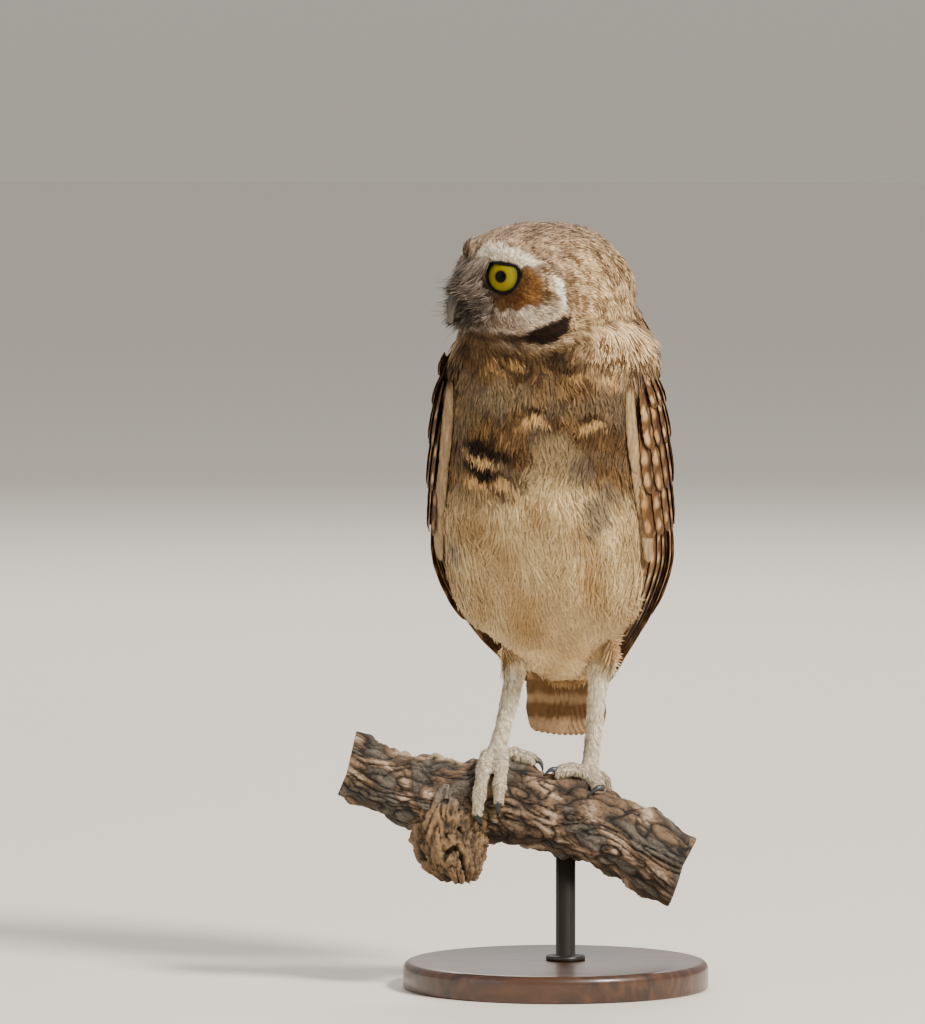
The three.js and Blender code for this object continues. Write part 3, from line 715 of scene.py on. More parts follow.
def head_lie(q):
    """Away from the bill's root over the face, turning downwards round the back, and out from each eye."""
    bill_root = np.array([0, -HEAD["front"], 2.0])
    lie = unit(q - bill_root)
    down = smooth(q[..., 1], -8, 26)[..., None]
    lie = unit(lie * (1 - 0.75 * down) + np.array([0, 0.15, -1.0]) * 1.2 * down)
    for side in (1, -1):
        away, distance = from_eye(q, side)
        ahead = (q[..., 1] < 0) & (q[..., 0] * side > 0)
        pull = (1 - smooth(distance, 10, 22)) * ahead
        lie = unit(lie * (1 - pull[..., None]) + unit(away) * pull[..., None] * 1.3)
    return lie


def lie_of(p, normal):
    """The head's field on the head and straight down on the body, flattened into the skin. Where the body
    faces downwards, the feathers turn back towards the tail."""
    share = head_share(p)[..., None]
    back = smooth(-normal[..., 2], 0.25, 0.8)[..., None] * np.array([0, 1.6, 0.5])
    field = share * (head_lie(to_head(p)) @ HEAD_MATRIX.T) + (1 - share) * (np.array([0, 0, -1.0]) + back)
    field = field + np.array([0, 0, -1e-3])
    return unit(field - (field * normal).sum(-1, keepdims=True) * normal)


def round_body(p):
    """Degrees round the body from the breast towards the bird's left, and the height above the feet."""
    h = p[..., 2] - FEET
    wide, front, back, middle = stations(BODY_TABLE, h)
    x = (p[..., 0] - middle) / wide
    y = (p[..., 1] - (back - front) / 2) / ((back + front) / 2)
    return np.degrees(np.arctan2(x, -y)), h


def under_wing(p, margin):
    """True where the folded wing covers the body by more than the margin, in degrees and millimetres."""
    h = p[..., 2] - FEET
    wide, deep, back = stations(MANTLE_TABLE, h)
    a = np.degrees(np.arctan2(np.abs(p[..., 0] - MANTLE_CENTRE) / wide, -(p[..., 1] - back) / deep))
    low, high = stations(WING_EDGES, h)
    inside = (a > low + margin) & (a < high - margin)
    return inside & (h > WING_EDGES[0][0] + margin) & (h < WING_EDGES[-1][0] - margin)


roots, _ = scatter(4.0, lambda p: p[:, 2] > FEET, 1)
print("a root in each 4 mm cell:", len(roots))

# %% [markdown]
# ## Markings
#
# The pattern is written once, as colours for places on the head and on the body, and both the skin and every
# feather read it. A burrowing owl has white brows and chin, a tawny cheek, a dark collar, a mottled breast
# with broken bars, and a creamy, downy belly. A band is a line with a thickness, and a blot is an oval with
# soft edges.


# %% Marks on head and body
def blot(a, b, a0, b0, wide, high, edge=0.3):
    """1 inside an oval and 0 outside, over an edge that is a share of its size."""
    return 1 - smooth(np.hypot((a - a0) / wide, (b - b0) / high), 1 - edge, 1 + edge)


def band(value, line, half, edge):
    """1 where the value lies within `half` of a line, fading over `edge`."""
    return 1 - smooth(np.abs(value - line), half - edge, half + edge)


def bent(x, *stops):
    """A line through stops (x, value), straight between them."""
    return np.interp(x, [s[0] for s in stops], [s[1] for s in stops])


CROWN = [paint("#5c4735"), paint("#c0a382")]
NAPE = [paint("#6b4f33"), paint("#dfc093")]
LORES = [paint("#34271f"), paint("#8f7c6c")]
TAWNY = [paint("#50300f"), paint("#885e2e")]
CHEEK = [paint("#76624f"), paint("#c6b59e")]
EAR = [paint("#5b4026"), paint("#c2a888")]
BROW = [paint("#a48c6c"), paint("#f2e4cb")]
COLLAR = [paint("#120a05"), paint("#2e1a0c")]
NECK = [paint("#382515"), paint("#836541")]
BREAST = [paint("#3f2a17"), paint("#80623b")]
BELLY = [paint("#a08156"), paint("#d4b98a")]
LEG_TONES = [paint("#a8977c"), paint("#eadfc6")]
DOWN_GREY = paint("#605344")


def between(pair, t):
    """A colour between a pair, at t from 0 to 1."""
    return mix(pair[0], pair[1], np.clip(t, 0, 1))


def head_pattern(q, root):
    """Colours of the head by bearing and height, the same on both sides but for painted shade on the right
    brow next to the bill. Flecks follow each tuft's root.
    """
    az, el = bearing(q)
    az = az + 1.6 * noise(q, 7, 3)
    el = el + 1.4 * noise(q, 6, 4)
    both = np.abs(az)
    fleck = 0.5 + 0.55 * noise(root, 2.6, 5) + 0.3 * noise(root, 9, 12)
    colour = between(CROWN, 0.1 + 0.75 * fleck)
    colour = mix(colour, between(NAPE, fleck), smooth(both, 66, 100) * (1 - smooth(el, 22, 48)))
    face = smooth(71 - both, -4, 4) * smooth(el, -40, -32) * (1 - smooth(el, 16, 22))
    colour = mix(colour, between(LORES, 0.3 + 0.5 * smooth(el, 5, 14) + 0.6 * (fleck - 0.5)), face)
    colour = mix(colour, between(CHEEK, 0.2 + 0.5 * (fleck - 0.3)), blot(both, el, 18, -10, 13, 7) * 0.8)
    colour = mix(colour, LORES[0] * 0.6, 0.85 * blot(both, el, 11, 3.6, 8, 2.6, 0.6))
    colour = mix(colour, LORES[0], 0.5 * blot(both, el, 4, -14, 9, 7, 0.6))
    tawny = between(TAWNY, smooth(both, 46, 60) + 0.5 * (fleck - 0.4))
    colour = mix(colour, tawny, 0.95 * blot(both, el, 51, 4, 10.5, 15, 0.38))
    colour = mix(colour, tawny, 0.9 * blot(both, el, 39, -6.5, 17, 6.5, 0.42))
    colour = mix(colour, between(EAR, fleck), blot(both, el, 66, 5, 5, 13))
    colour = mix(colour, EAR[0], 0.8 * blot(both, el, 65, 3.5, 1.6, 7))
    brow_line = bent(both, (0, 21), (5, 25), (12, 27.5), (30, 27), (45, 24), (57, 21.5), (64, 19))
    brow_half = bent(both, (0, 2), (5, 4), (14, 8.2), (30, 7.4), (45, 5.8), (57, 3.4), (64, 0.5))
    # Painted shade: on the bird's right, next to the bill, the brow is painted darker and fainter.
    inner = smooth(az, -30, -22) * (1 - smooth(az, -8, 6))
    brow = between(BROW, 0.75 + 0.7 * (fleck - 0.5) - 0.9 * inner)
    brow_share = band(el, brow_line, brow_half, 1.6) * (1 - smooth(both, 60, 65)) * (1 - 0.6 * inner)
    colour = mix(colour, brow, brow_share)
    chin_line = bent(both, (0, -22), (14, -22.5), (30, -20.5), (46, -20), (57, -16.5), (66, -13), (76, -9.5))
    chin_half = bent(both, (0, 5.5), (30, 7.5), (46, 8), (57, 7.8), (66, 5.5), (76, 4))
    # Painted shade: the white chin band is painted grey-brown, darkest next to the bill and paler towards the
    # sides.
    chin = between(CHEEK, 0.3 + 0.5 * smooth(both, 34, 62) + 0.9 * (fleck - 0.5))
    colour = mix(colour, chin, band(el, chin_line, chin_half, 1.8) * smooth(80 - both, 0, 5))
    colour = mix(colour, EAR[0] * 0.7, 0.85 * blot(both, el, 81.5, -2, 4.5, 13) * smooth(fleck, 0.3, 0.6))
    rim_line = bent(el, (-12, 79), (-5, 75.5), (5, 72.5), (13, 70))
    rim = band(both, rim_line, 2.4, 1.2) * smooth(el, -15, -10) * (1 - smooth(el, 8, 15))
    colour = mix(colour, mix(CHEEK[1], WHITE, fleck), rim)
    under = band(el, bent(both, (0, -32), (30, -33), (50, -34)), 4.5, 2) * (1 - smooth(both, 50, 62))
    colour = mix(colour, between(NECK, 0.1 + 0.4 * fleck), under * 0.9)
    collar_line = bent(both, (26, -31.5), (46, -33), (57, -31.5), (66, -29), (76, -26), (84, -20))
    collar_half = bent(both, (22, 0.5), (30, 1.4), (46, 2.6), (55, 6), (66, 9), (76, 9.5), (84, 6))
    collar = band(el, collar_line, collar_half, 1.8) * smooth(both, 20, 52) * smooth(85 - both, 0, 5)
    return mix(colour, between(COLLAR, fleck - 0.2), collar)


BODY_MARKS = [  # colour, degrees round, height, half width, half height, fall per degree, strength
    ("#75644a", -14, 152, 17, 6, 0, 0.6),
    ("#2f1e12", -13, 167.5, 8.5, 1.3, 0.3, 0.8),
    ("#75644a", -38, 146, 10, 6, 0, 0.5),
    ("#20150e", 15, 165, 5, 6, 0, 0.75),
    ("#2e2016", 7, 167, 4, 4, 0, 0.6),
    ("#3a2716", -10, 162.5, 9, 4.8, 0.1, 0.8),
    ("#a88150", -11.5, 163.4, 4.5, 2.2, 0.3, 0.85),
    ("#a88150", -27, 164, 5, 2.6, 0, 0.6),
    ("#b58c57", 24, 160, 4, 2.6, 0, 0.6),
    ("#b8925f", 44, 158, 4.5, 3, 0, 0.7),
    ("#2b1a0d", 3.5, 147, 8.5, 1.9, 0.13, 0.95),
    ("#bd9563", 3, 142.6, 6.5, 2.2, 0, 0.9),
    ("#3a2614", 13, 141, 4, 3.6, 0, 0.6),
    ("#33200f", 32, 144.6, 10, 1.9, -0.15, 0.9),
    ("#b9935f", 32, 140.4, 8, 1.8, -0.08, 0.9),
    ("#33200f", 30.5, 135.6, 8.5, 1.8, -0.14, 0.9),
    ("#2a1a10", 46, 138, 6, 4, 0, 0.8),
    ("#180d05", -24.5, 131.2, 15, 2.9, 0.245, 1),
    ("#c79f6b", -27.5, 126.6, 12, 1.9, 0.24, 0.95),
    ("#180d05", -25.5, 122, 15.5, 2.6, 0.22, 1),
    ("#c79f6b", -31.5, 117.6, 7.5, 2.2, 0.2, 0.95),
    ("#c79f6b", -15, 116.4, 5.5, 2.1, 0.1, 0.95),
    ("#4a3018", -14.5, 112.6, 9, 1.1, 0.25, 0.8),
    ("#3f2813", -4.5, 117, 3.6, 1.7, 1.2, 0.8),
    ("#5b4327", 40, 130, 14, 12, 0, 0.45),
    ("#8a7552", 14, 128, 12, 10, 0, 0.8),
    ("#5a5045", 33, 104, 7, 8, 0, 0.75),
    ("#5a5045", 26, 123, 8, 6, 0, 0.5),
    ("#66594a", 40, 113, 6, 6, 0, 0.6),
    ("#7d7264", -50, 88, 6, 5, 0, 0.6),
    ("#96672f", 31, 77, 5, 9, 0, 0.55),
    ("#a98350", -10, 66, 10, 10, 0, 0.5),
    ("#a07a48", -32, 78, 8, 10, 0, 0.35),
]


def body_pattern(p, root):
    """Colours of the body by angle and height: mottled above, creamy below, and the marks over both. Low down
    by the thighs the colour is painted lighter, painted light against the shade under the belly.
    """
    theta, h = round_body(p)
    theta = theta + 2.2 * noise(p, 12, 6)
    h = h + 1.0 * noise(p, 8, 7)
    fleck = 0.5 + 0.5 * noise(root, 4.2, 8) + 0.35 * noise(root, 15, 13)
    side = np.abs(theta)
    front = np.maximum(1 - smooth(side, 75, 100), 1 - smooth(h, 56, 70))
    breast = mix(between(BREAST, fleck), DOWN_GREY, 0.55 * smooth(noise(p, 22, 9), -0.1, 0.5))
    cape = smooth(theta, 18, 48) + smooth(-theta, 62, 84)
    top = mix(between(NECK, 0.1 + 0.6 * fleck), between(NAPE, 1.5 * fleck - 0.35), np.clip(cape, 0, 1))
    colour = mix(breast, top, smooth(h, 152, 168))
    line = bent(np.clip(theta, -80, 80), (-80, 110), (-40, 113), (-12, 111), (8, 127), (28, 118), (80, 104))
    belly = between(BELLY, 0.5 + 0.35 * noise(p, 19, 10) + 0.3 * (fleck - 0.5))
    colour = mix(colour, belly, smooth(line - h, -7, 9) * front)
    back = mix(DARK, BROWN, smooth(fleck, 0.1, 0.9))
    back = mix(back, PALE, 0.6 * smooth(noise(root, 6.5, 14), 0.28, 0.5))
    colour = mix(colour, back, (1 - front) * (1 - smooth(h, 160, 176)) * smooth(h, 58, 72))
    for code, theta0, h0, wide, high, fall, strength in BODY_MARKS:
        middle = h0 - fall * (theta - theta0)
        colour = mix(colour, paint(code), strength * blot(theta, h - middle, theta0, 0, wide, high, 0.3))
    # Painted light: below 58 mm the colour is lifted up to 1.4 times against the shade under the belly.
    return colour * (1 + 0.4 * (1 - smooth(h, 44, 58)))[..., None]


def leg_pattern(p, root):
    """Buff at the heel, whitish down the shank and greyer on the toes, with fine darker ticks. Near and above
    the heel the buff is painted 1.3 times lighter, painted light against the shade under the belly.
    """
    h = p[..., 2] - FEET
    tick = 0.5 + 0.6 * noise(root, 1.9, 11)
    colour = between(LEG_TONES, 0.35 + 0.65 * tick - 0.25 * (1 - smooth(h, -5, 12)))
    # Painted light: the buff near and above the heel is 1.3 times lighter against the shade under the belly.
    return mix(colour, between(BELLY, 0.6 + 0.5 * tick) * 1.3, smooth(h, 34, 48))


def leg_share(p):
    """1 on the shanks and feet, 0 on the feathered body: below the heels, away from the undertail's fluff."""
    h = p[..., 2] - FEET
    close = np.full(p.shape[:-1], 99.0)
    for leg in LEGS.values():
        heel = np.array(leg["heel"], float)
        foot = on_branch(leg["along"], 0, LEG["above_bark"]) - [0, 0, FEET]
        t = np.clip((heel[2] - h) / (heel[2] - foot[2]), 0, 1)[..., None]
        axis = heel + (foot - heel) * t
        close = np.minimum(close, np.hypot(p[..., 0] - axis[..., 0], p[..., 1] - axis[..., 1]))
    return np.where(h < 12, 1.0, (1 - smooth(h, 42, 50)) * (1 - smooth(close, 6.5, 8)))


def pattern(p, root=None):
    """The head's colours on the head, the leg's on the legs and the body's between."""
    root = p if root is None else np.broadcast_to(root, p.shape)
    head = head_pattern(to_head(p), to_head(root))
    colour = mix(body_pattern(p, root), head, head_share(p))
    return mix(colour, leg_pattern(p, root), leg_share(p))


UNDER_COAT_SHADE = 0.6
LEG_NODES = [part + side for part in ("thigh_", "shank_", "foot_") for side in LEGS]
bare_by_the_lids = smooth(lid_gap(to_head(SKIN_XYZ)), 0.7, 1.3)[:, None]
set_colours(skin, pattern(SKIN_XYZ) * UNDER_COAT_SHADE * bare_by_the_lids)
for node in ["head", "neck", "torso"] + LEG_NODES:
    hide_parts(node)
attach(skin, BODY)
print("skin painted")

# %% [markdown]
# ## Tufts
#
# A small feather's vane is loose, and its barbs end in separate soft points. So a tuft here is a fan of
# narrow blades from one root, each of four triangles. A wide fan of broad blades reads as a breast feather,
# and a narrow one of thin blades as the fur-like feathers of the head. All tufts of a region are worked out
# in one go: tuft by blade by point.


# %% Tufts
BLADE_T = np.array([0, 0.42, 0.42, 0.8, 0.8, 1.0])
BLADE_SIDE = np.array([0, 1, -1, 0.8, -0.8, 0])
BLADE_FACES = np.array([[0, 1, 2], [1, 3, 2], [3, 4, 2], [3, 5, 4]])


def tufts(roots, normal, lie, length, half, fan, rise, curl, blades, seed, sink=0.4):
    """Points of fans of blades. Along a blade, with t from 0 to 1: forward = length t cos(angle),
    across = length t sin(angle) + side * half width, up = length (rise t - curl t^2)."""
    draw = np.random.default_rng(seed)
    count = len(roots)
    sizes = (length, half, fan, rise, curl)
    length, half, fan, rise, curl = (np.broadcast_to(v, count)[:, None] for v in sizes)
    spread = np.linspace(-1, 1, blades)[None, :]
    angle = np.radians(fan) * (spread + draw.normal(0, 0.22, (count, blades)))
    reach = length * (1 - 0.22 * spread**2) * draw.uniform(0.8, 1.12, (count, blades))
    up = rise + draw.normal(0, 0.05, (count, blades))
    roll = draw.normal(0, 0.35, (count, blades))
    across = unit(np.cross(lie, normal))
    t, side = BLADE_T[None, None], BLADE_SIDE[None, None]
    reach, angle, up, roll = (v[..., None] for v in (reach, angle, up, roll))
    width = side * half[..., None]
    forward = reach * t * np.cos(angle) - width * np.sin(angle)
    sideways = reach * t * np.sin(angle) + width * np.cos(angle)
    sideways = sideways + half[..., None] * 0.8 * spread[..., None]
    height = reach * (up * t - curl[..., None] * t**2) + width * roll * 0.6 - sink * (1 - t)
    at = roots[:, None, None]
    xyz = at + forward[..., None] * lie[:, None, None] + sideways[..., None] * across[:, None, None]
    return xyz + height[..., None] * normal[:, None, None]


def tuft_uv(place, shape):
    """A patch 0.003 across at each root's place on the map: blades side by side, roots low and tips high."""
    count, blades, corners = shape[:3]
    u = np.linspace(-1, 1, blades)[None, :, None] * 0.0013 + BLADE_SIDE * 0.0002
    v = (BLADE_T * 2 - 1) * 0.0015
    full = np.empty((count, blades, corners, 2))
    full[..., 0] = place[:, None, None, 0] + u
    full[..., 1] = place[:, None, None, 1] + v
    return full.reshape(-1, 2)


def unwrap_head(p):
    """Bearing and height on the head as a map from 0 to 1."""
    az, el = bearing(to_head(p))
    return np.stack([0.01 + 0.98 * (az / 360 + 0.5), 0.01 + 0.98 * (el / 180 + 0.5)], -1)


def unwrap_body(p):
    """Angle round the body and height as a map from 0 to 1."""
    theta, h = round_body(p)
    return np.stack([0.01 + 0.98 * (theta / 360 + 0.5), 0.01 + 0.98 * np.clip((h + 20) / 220, 0, 1)], -1)


def soft_normals(piece, normal, lie, shape):
    """Barbs scatter light so much that a tuft shades as one soft swelling. Each point's normal is the skin's,
    leaned up to 0.3 to its side of the fan and 0.15 to its side of the blade, and along the lie by -0.2 at
    the root to 0.3 at the tip."""
    across = np.cross(lie, normal)[:, None, None]
    spread = np.linspace(-1, 1, shape[1])[None, :, None, None]
    lean = 0.3 * spread + 0.15 * BLADE_SIDE[None, None, :, None]
    soft = normal[:, None, None] + lean * across + (0.5 * BLADE_T[:, None] - 0.2) * lie[:, None, None]
    piece.data.normals_split_custom_set_from_vertices(unit(soft).reshape(-1, 3).astype(np.float32))


def tuft_piece(name, xyz, colour, place):
    """All blades of a region as one mesh, each blade's faces counting on from the blade before, with the
    tufts' colours and their patches on the map."""
    blade = np.arange(xyz.shape[0] * xyz.shape[1])[:, None, None]
    faces = BLADE_FACES[None] + len(BLADE_T) * blade
    piece = put(name, xyz, faces.reshape(-1, 3), DOWN)
    set_colours(piece, colour)
    set_uv(piece, tuft_uv(place, xyz.shape), "OFBake")
    return piece


def coat(name, roots, normal, size, blades, seed, unwrap, tone=0.14, shades=(0.5, 1.0, 1.15)):
    """One piece of coat. size gives length, half width, fan, rise and curl for each root. Along a blade the
    colour is multiplied by the shades at its root, its middle and its tip: a darker root, partly the
    feather's own darker base and partly painted shade among the overlapping blades, and a paler tip."""
    lie = lie_of(roots, normal)
    turn = np.random.default_rng(seed + 1).normal(0, 0.12, len(roots)) + 0.3 * noise(roots, 26, seed)
    lie = unit(lie + np.cross(normal, lie) * turn[:, None])
    length, half, fan, rise, curl = size
    xyz = tufts(roots, normal, lie, length, half, fan, rise, curl, blades, seed)
    length = np.broadcast_to(length, len(roots))
    tip = (roots + lie * length[:, None] * 0.75)[:, None, None]
    draw = np.random.default_rng(seed + 2)
    shake = draw.normal(0, 0.05, (len(roots), blades, 1, 3)) * length[:, None, None, None]
    colour = pattern(0.5 * (xyz + tip) + shake, roots[:, None, None])
    # Painted shade, with the feathers' own darker bases: blades are darker at the root, where they overlap.
    shade = np.interp(BLADE_T, [0, 0.5, 1], shades)
    each = 1 + draw.normal(0, tone, (len(roots), blades, 1)) + draw.normal(0, tone, (len(roots), 1, 1))
    colour = colour * (shade * np.clip(each, 0.4, 1.7))[..., None]
    piece = tuft_piece(name, xyz, np.clip(colour, 0, 1), unwrap(roots))
    soft_normals(piece, normal, lie, xyz.shape)


print("a tuft of 5 blades has", 5 * len(BLADE_FACES), "triangles")

# %% [markdown]
# ## The head's coat
#
# Feathers are shortest round the eyes and on the lores, and longer over crown and nape. They reach right up
# to the lids' black edge, but none grows on the eyeball or the bill. The face and the rest of the head are
# two pieces, so that each stays light.


# %% Head coat
def on_head(p):
    """Where head feathers grow: on the ball, off the eyes and off the bill's root."""
    q = to_head(p)
    bill = np.hypot(q[..., 0], q[..., 2] - 0.5) < 4.2
    return (head_share(p) > 0.5) & (lid_gap(q) > 0.75) & ~(bill & (q[..., 1] < -20))


head_roots, head_normal = scatter(1.0, on_head, 31)
head_q = to_head(head_roots)
face_az, face_el = bearing(head_q)
head_gap = lid_gap(head_q)
bridge = 1 - smooth(np.abs(face_az), 12, 20)
near_eye = (1 - smooth(head_gap, 0.5, 9)) * (1 - 0.6 * bridge)
in_face = (np.abs(face_az) < 84) & (face_el < 34)
back_of_head = smooth(head_q[:, 1], 0, 30)
head_size = (
    5.4 - 2.8 * near_eye - 0.7 * in_face + (1.8 + 2.2 * smooth(-face_el, -10, 20)) * back_of_head,
    0.26 - 0.1 * near_eye + 0.04 * back_of_head,
    15.0,
    0.26 + 0.1 * near_eye,
    0.2 + 0.06 * near_eye,
)
for name, mask, seed in (("face_coat", in_face, 33), ("crown_coat", ~in_face, 37)):
    size = [np.broadcast_to(v, len(head_roots))[mask] for v in head_size]
    coat(name, head_roots[mask], head_normal[mask], size, 5, seed, unwrap_head)

# %% [markdown]
# ## The body's coat
#
# Breast feathers are broad, soft fans in loose tiers, and the belly, flanks and undertail are longer down
# that stands out more. They are drawn in bands of height, with sizes that change smoothly over the body.


# %% Body coat
def on_body(p):
    """Where body feathers grow: off the head, off the legs' lower part and off what the wings hide."""
    hidden = under_wing(p, 7.0)
    return (head_share(p) <= 0.5) & ~hidden & (leg_share(p) < 0.5) & (p[..., 2] > FEET + 30)


def body_size(p):
    """Length, half width, fan, rise and curl by height, longer over the shoulders and beside the thighs."""
    theta, h = round_body(p)
    side = np.abs(theta)
    length = bent(h, (30, 8), (50, 9), (70, 11), (85, 12.5), (110, 11.5), (150, 10), (175, 9), (190, 8))
    shoulder = smooth(side, 45, 70) * smooth(h, 156, 168)
    length = length + 5.5 * shoulder
    length = length + 3 * smooth(side, 42, 60) * (1 - smooth(side, 85, 110)) * (1 - smooth(h, 66, 84))
    half = bent(h, (30, 0.3), (90, 0.36), (112, 0.42), (150, 0.46), (175, 0.42), (190, 0.36))
    fan = bent(h, (30, 26), (90, 28), (112, 23), (165, 19), (190, 15))
    rise = bent(h, (30, 0.16), (70, 0.22), (90, 0.26), (112, 0.24), (190, 0.26)) + 0.04 * shoulder
    curl = bent(h, (30, 0.14), (70, 0.2), (90, 0.24), (112, 0.22), (190, 0.2))
    return length, half, fan, rise, curl


def in_band(p, low, high):
    """Body feathers between two heights above the feet."""
    h = p[..., 2] - FEET
    return on_body(p) & (h >= low) & (h < high)


BODY_COATS = [  # name, lowest and highest root, gap, blades, seed, change of tone, shades of a blade
    ("neck_coat", 158, 215, 1.3, 7, 41, 0.13, (0.5, 1.0, 1.15)),
    ("breast_coat", 112, 158, 1.3, 9, 43, 0.1, (0.6, 1.0, 1.08)),
    ("belly_coat", 72, 112, 1.3, 10, 47, 0.05, (0.82, 0.98, 1.04)),
    ("undertail_coat", 30, 72, 1.35, 10, 51, 0.05, (0.85, 0.98, 1.04)),
]
for name, low, high, gap, blades, seed, tone, shades in BODY_COATS:
    place, normal = scatter(gap, lambda p: in_band(p, low, high), seed)
    coat(name, place, normal, body_size(place), blades, seed + 1, unwrap_body, tone, shades)

# %% [markdown]
# ## Legs and toes
#
# Burrowing owls have long, thinly feathered legs. The feathers are short and hair-like, lie down the shank,
# and give way to a few bristles on the pebbly toes.


# %% Leg coat
def on_leg(p):
    """The shanks and the tops of the toes."""
    return leg_share(p) > 0.5


leg_roots, leg_normal = scatter(0.95, on_leg, 61)
leg_h = leg_roots[:, 2] - FEET
leg_size = (bent(leg_h, (-30, 2.0), (6, 2.6), (16, 3.8), (50, 5.6)), 0.16, 11.0, 0.22, 0.15)
coat("leg_coat", leg_roots, leg_normal, leg_size, 4, 63, unwrap_body, 0.1, (0.7, 1.0, 1.12))

# %% [markdown]
# ## Folded wings
#
# A folded wing is layered like roof slates: primaries and secondaries below, rows of coverts above, and the
# scapulars over the back edge. Every feather lies on one curved mantle, at a height off it that grows from
# root to tip, and leans so that its back edge slips under the next one. The same rule draws the tiers of the
# solids, with fewer feathers.


# %% The mantle and its feathers
def mantle(side, h, degrees, out):
    """A point `out` off the mantle: (half width sin a, back - half depth cos a) plus out along the normal."""
    wide, deep, back = stations(MANTLE_TABLE, h)
    a = np.radians(degrees)
    nx, ny = np.sin(a) / wide, -np.cos(a) / deep
    n = np.hypot(nx, ny)
    x = MANTLE_CENTRE + side * (wide * np.sin(a) + out * nx / n)
    return points(x, back - deep * np.cos(a) + out * ny / n, h + FEET)


OUTLINE = [[0, 0.5], [0.15, 0.78], [0.45, 1], [0.75, 1], [0.88, 0.9], [0.95, 0.66], [0.985, 0.36], [1, 0.12]]
VANE_U = np.array([-1, -0.82, -0.6, -0.38, -0.16, -0.05, 0.05, 0.16, 0.38, 0.6, 0.82, 1])
VANE_ROWS = 34
WING_TIERS = {
    "primaries": dict(count=9, root=(112, 106), tip=(58, 33), across=(0.05, 0.5), gather=1.4, wide=4.4,
                      lift=(2.3, 1.6), stack=0.28, kind="flight"),
    "secondaries": dict(count=11, root=(112, 122), tip=(60, 88), across=(0.3, 0.95), gather=1.0, wide=5.0,
                        lift=(3.2, 4.6), kind="flight"),
    "great_coverts": dict(count=12, root=(128, 136), tip=(96, 108), across=(0.04, 0.93), wide=5.4,
                          lift=(3.2, 5.3), kind="covert"),
    "middle_coverts": dict(count=12, root=(144, 150), tip=(114, 124), across=(0.05, 0.92), wide=5.4,
                           lift=(3.4, 5.8), kind="covert"),
    "small_coverts": dict(count=11, root=(158, 162), tip=(132, 141), across=(0.06, 0.9), wide=5.2,
                          lift=(3.4, 6.0), kind="covert"),
    "shoulder_coverts": dict(count=10, root=(168, 170), tip=(148, 154), across=(0.12, 0.9), wide=4.8,
                             lift=(0.2, 6.0), kind="covert"),
    "scapulars": dict(count=7, root=(162, 146), tip=(138, 98), across=(0.74, 0.97), wide=5.6,
                      lift=(3.8, 7.6), stack=0.12, kind="covert"),
    "cape": dict(count=9, root=(176, 174), tip=(161, 158), across=(0.07, 0.86), wide=4.4,
                 lift=(1.6, 5.4), kind="covert"),
    "edge": dict(count=3, root=(158, 112), tip=(122, 86), across=(-0.01, 0.0), wide=2.3,
                 lift=(4.3, 4.8), kind="edge", lean=-0.7, sway=0.05, inward=0.03, wider=0.9),
}
LEAN, DROOP, THICK = 0.7, 0.35, 0.28
SWAY_MIDDLE, SWAY_HALF = 104, 46


def vane_places(side, tier, k, t):
    """Middle, way across and way out at parts t of a wing feather, on the mantle."""
    share = k / (tier["count"] - 1)
    root, tip, across = (a + (b - a) * share for a, b in (tier["root"], tier["tip"], tier["across"]))

    def place(t, extra=0.0):
        """The feather's middle at t: a height, and a share of the way from the wing's front to its back."""
        h = root + (tip - root) * t
        front, back = stations(WING_EDGES, h)
        where = across * (1 + (tier.get("gather", 1) - 1) * t)
        where = where - tier.get("sway", 0) * (h - SWAY_MIDDLE) / SWAY_HALF
        where = where - tier.get("inward", 0) * (side < 0)
        rise = tier["lift"][0] + (tier["lift"][1] - tier["lift"][0]) * np.sin(t * np.pi / 2)
        rise = rise + tier.get("stack", 0) * k * t
        return mantle(side, h, front + (back - front) * where, rise + extra)

    middle = place(t)
    out = place(t, 1.0) - middle
    along = unit(place(np.minimum(t + 0.03, 1)) - place(np.minimum(t + 0.03, 1) - 0.06))
    return middle, unit(np.cross(out, along)) * side, unit(out)


def vane_body(middle, across, out, wide, lean, droop, seed):
    """A closed vane. Across, with u from -1 to 1: middle + u * width * across + out * (-lean u - droop u^2),
    with a raised shaft at u = 0, and the underside one thickness below, thinning to the edges."""
    rows = len(middle)
    t = np.linspace(0, 1, rows)
    draw = np.random.default_rng(seed)
    share = stations(OUTLINE, t)[0]
    ragged = 1 + 0.05 * np.sin(t[:, None] * draw.uniform(30, 60) + draw.uniform(0, 6)) * np.abs(VANE_U)
    half = wide * share[:, None] * ragged
    side = VANE_U[None, :] * half
    shaft = 0.22 * np.exp(-((VANE_U / 0.08) ** 2))[None, :] * (1 - 0.7 * t[:, None])
    lift = -lean * VANE_U[None] * share[:, None] - droop * VANE_U[None] ** 2 + shaft
    under = lift - THICK * (1 - 0.6 * np.abs(VANE_U[None])) - shaft
    top = middle[:, None] + across[:, None] * side[..., None] + out[:, None] * lift[..., None]
    low = middle[:, None] + across[:, None] * side[..., None] + out[:, None] * under[..., None]
    return closed(np.concatenate([top, low[:, ::-1]], axis=1))


RING_U = np.concatenate([VANE_U, VANE_U[::-1]])
RING_T = np.concatenate([[0], np.linspace(0, 1, VANE_ROWS), [1]])
SPOT = [paint("#ac7f4d"), paint("#d3b080")]
WING_DARK = paint("#412711")
WING_MID = paint("#79552f")
WING_SHAFT = paint("#2a190c")
EDGE_PALE = paint("#ad9370")
TAN_EDGE = paint("#94703f")


def spots(u, t, rows, u0, wide, high):
    """The strongest of a row of drops at u = +-u0 and at the given parts of the length, each wider towards
    the feather's tip."""
    strongest = np.zeros(np.broadcast(u, t).shape)
    for t0 in rows:
        drop = wide * np.clip(1 + 0.35 * (t - t0) / high, 0.45, 1.5)
        strongest = np.maximum(strongest, blot(np.abs(u), t, u0, t0, drop, high, 0.4))
    return strongest


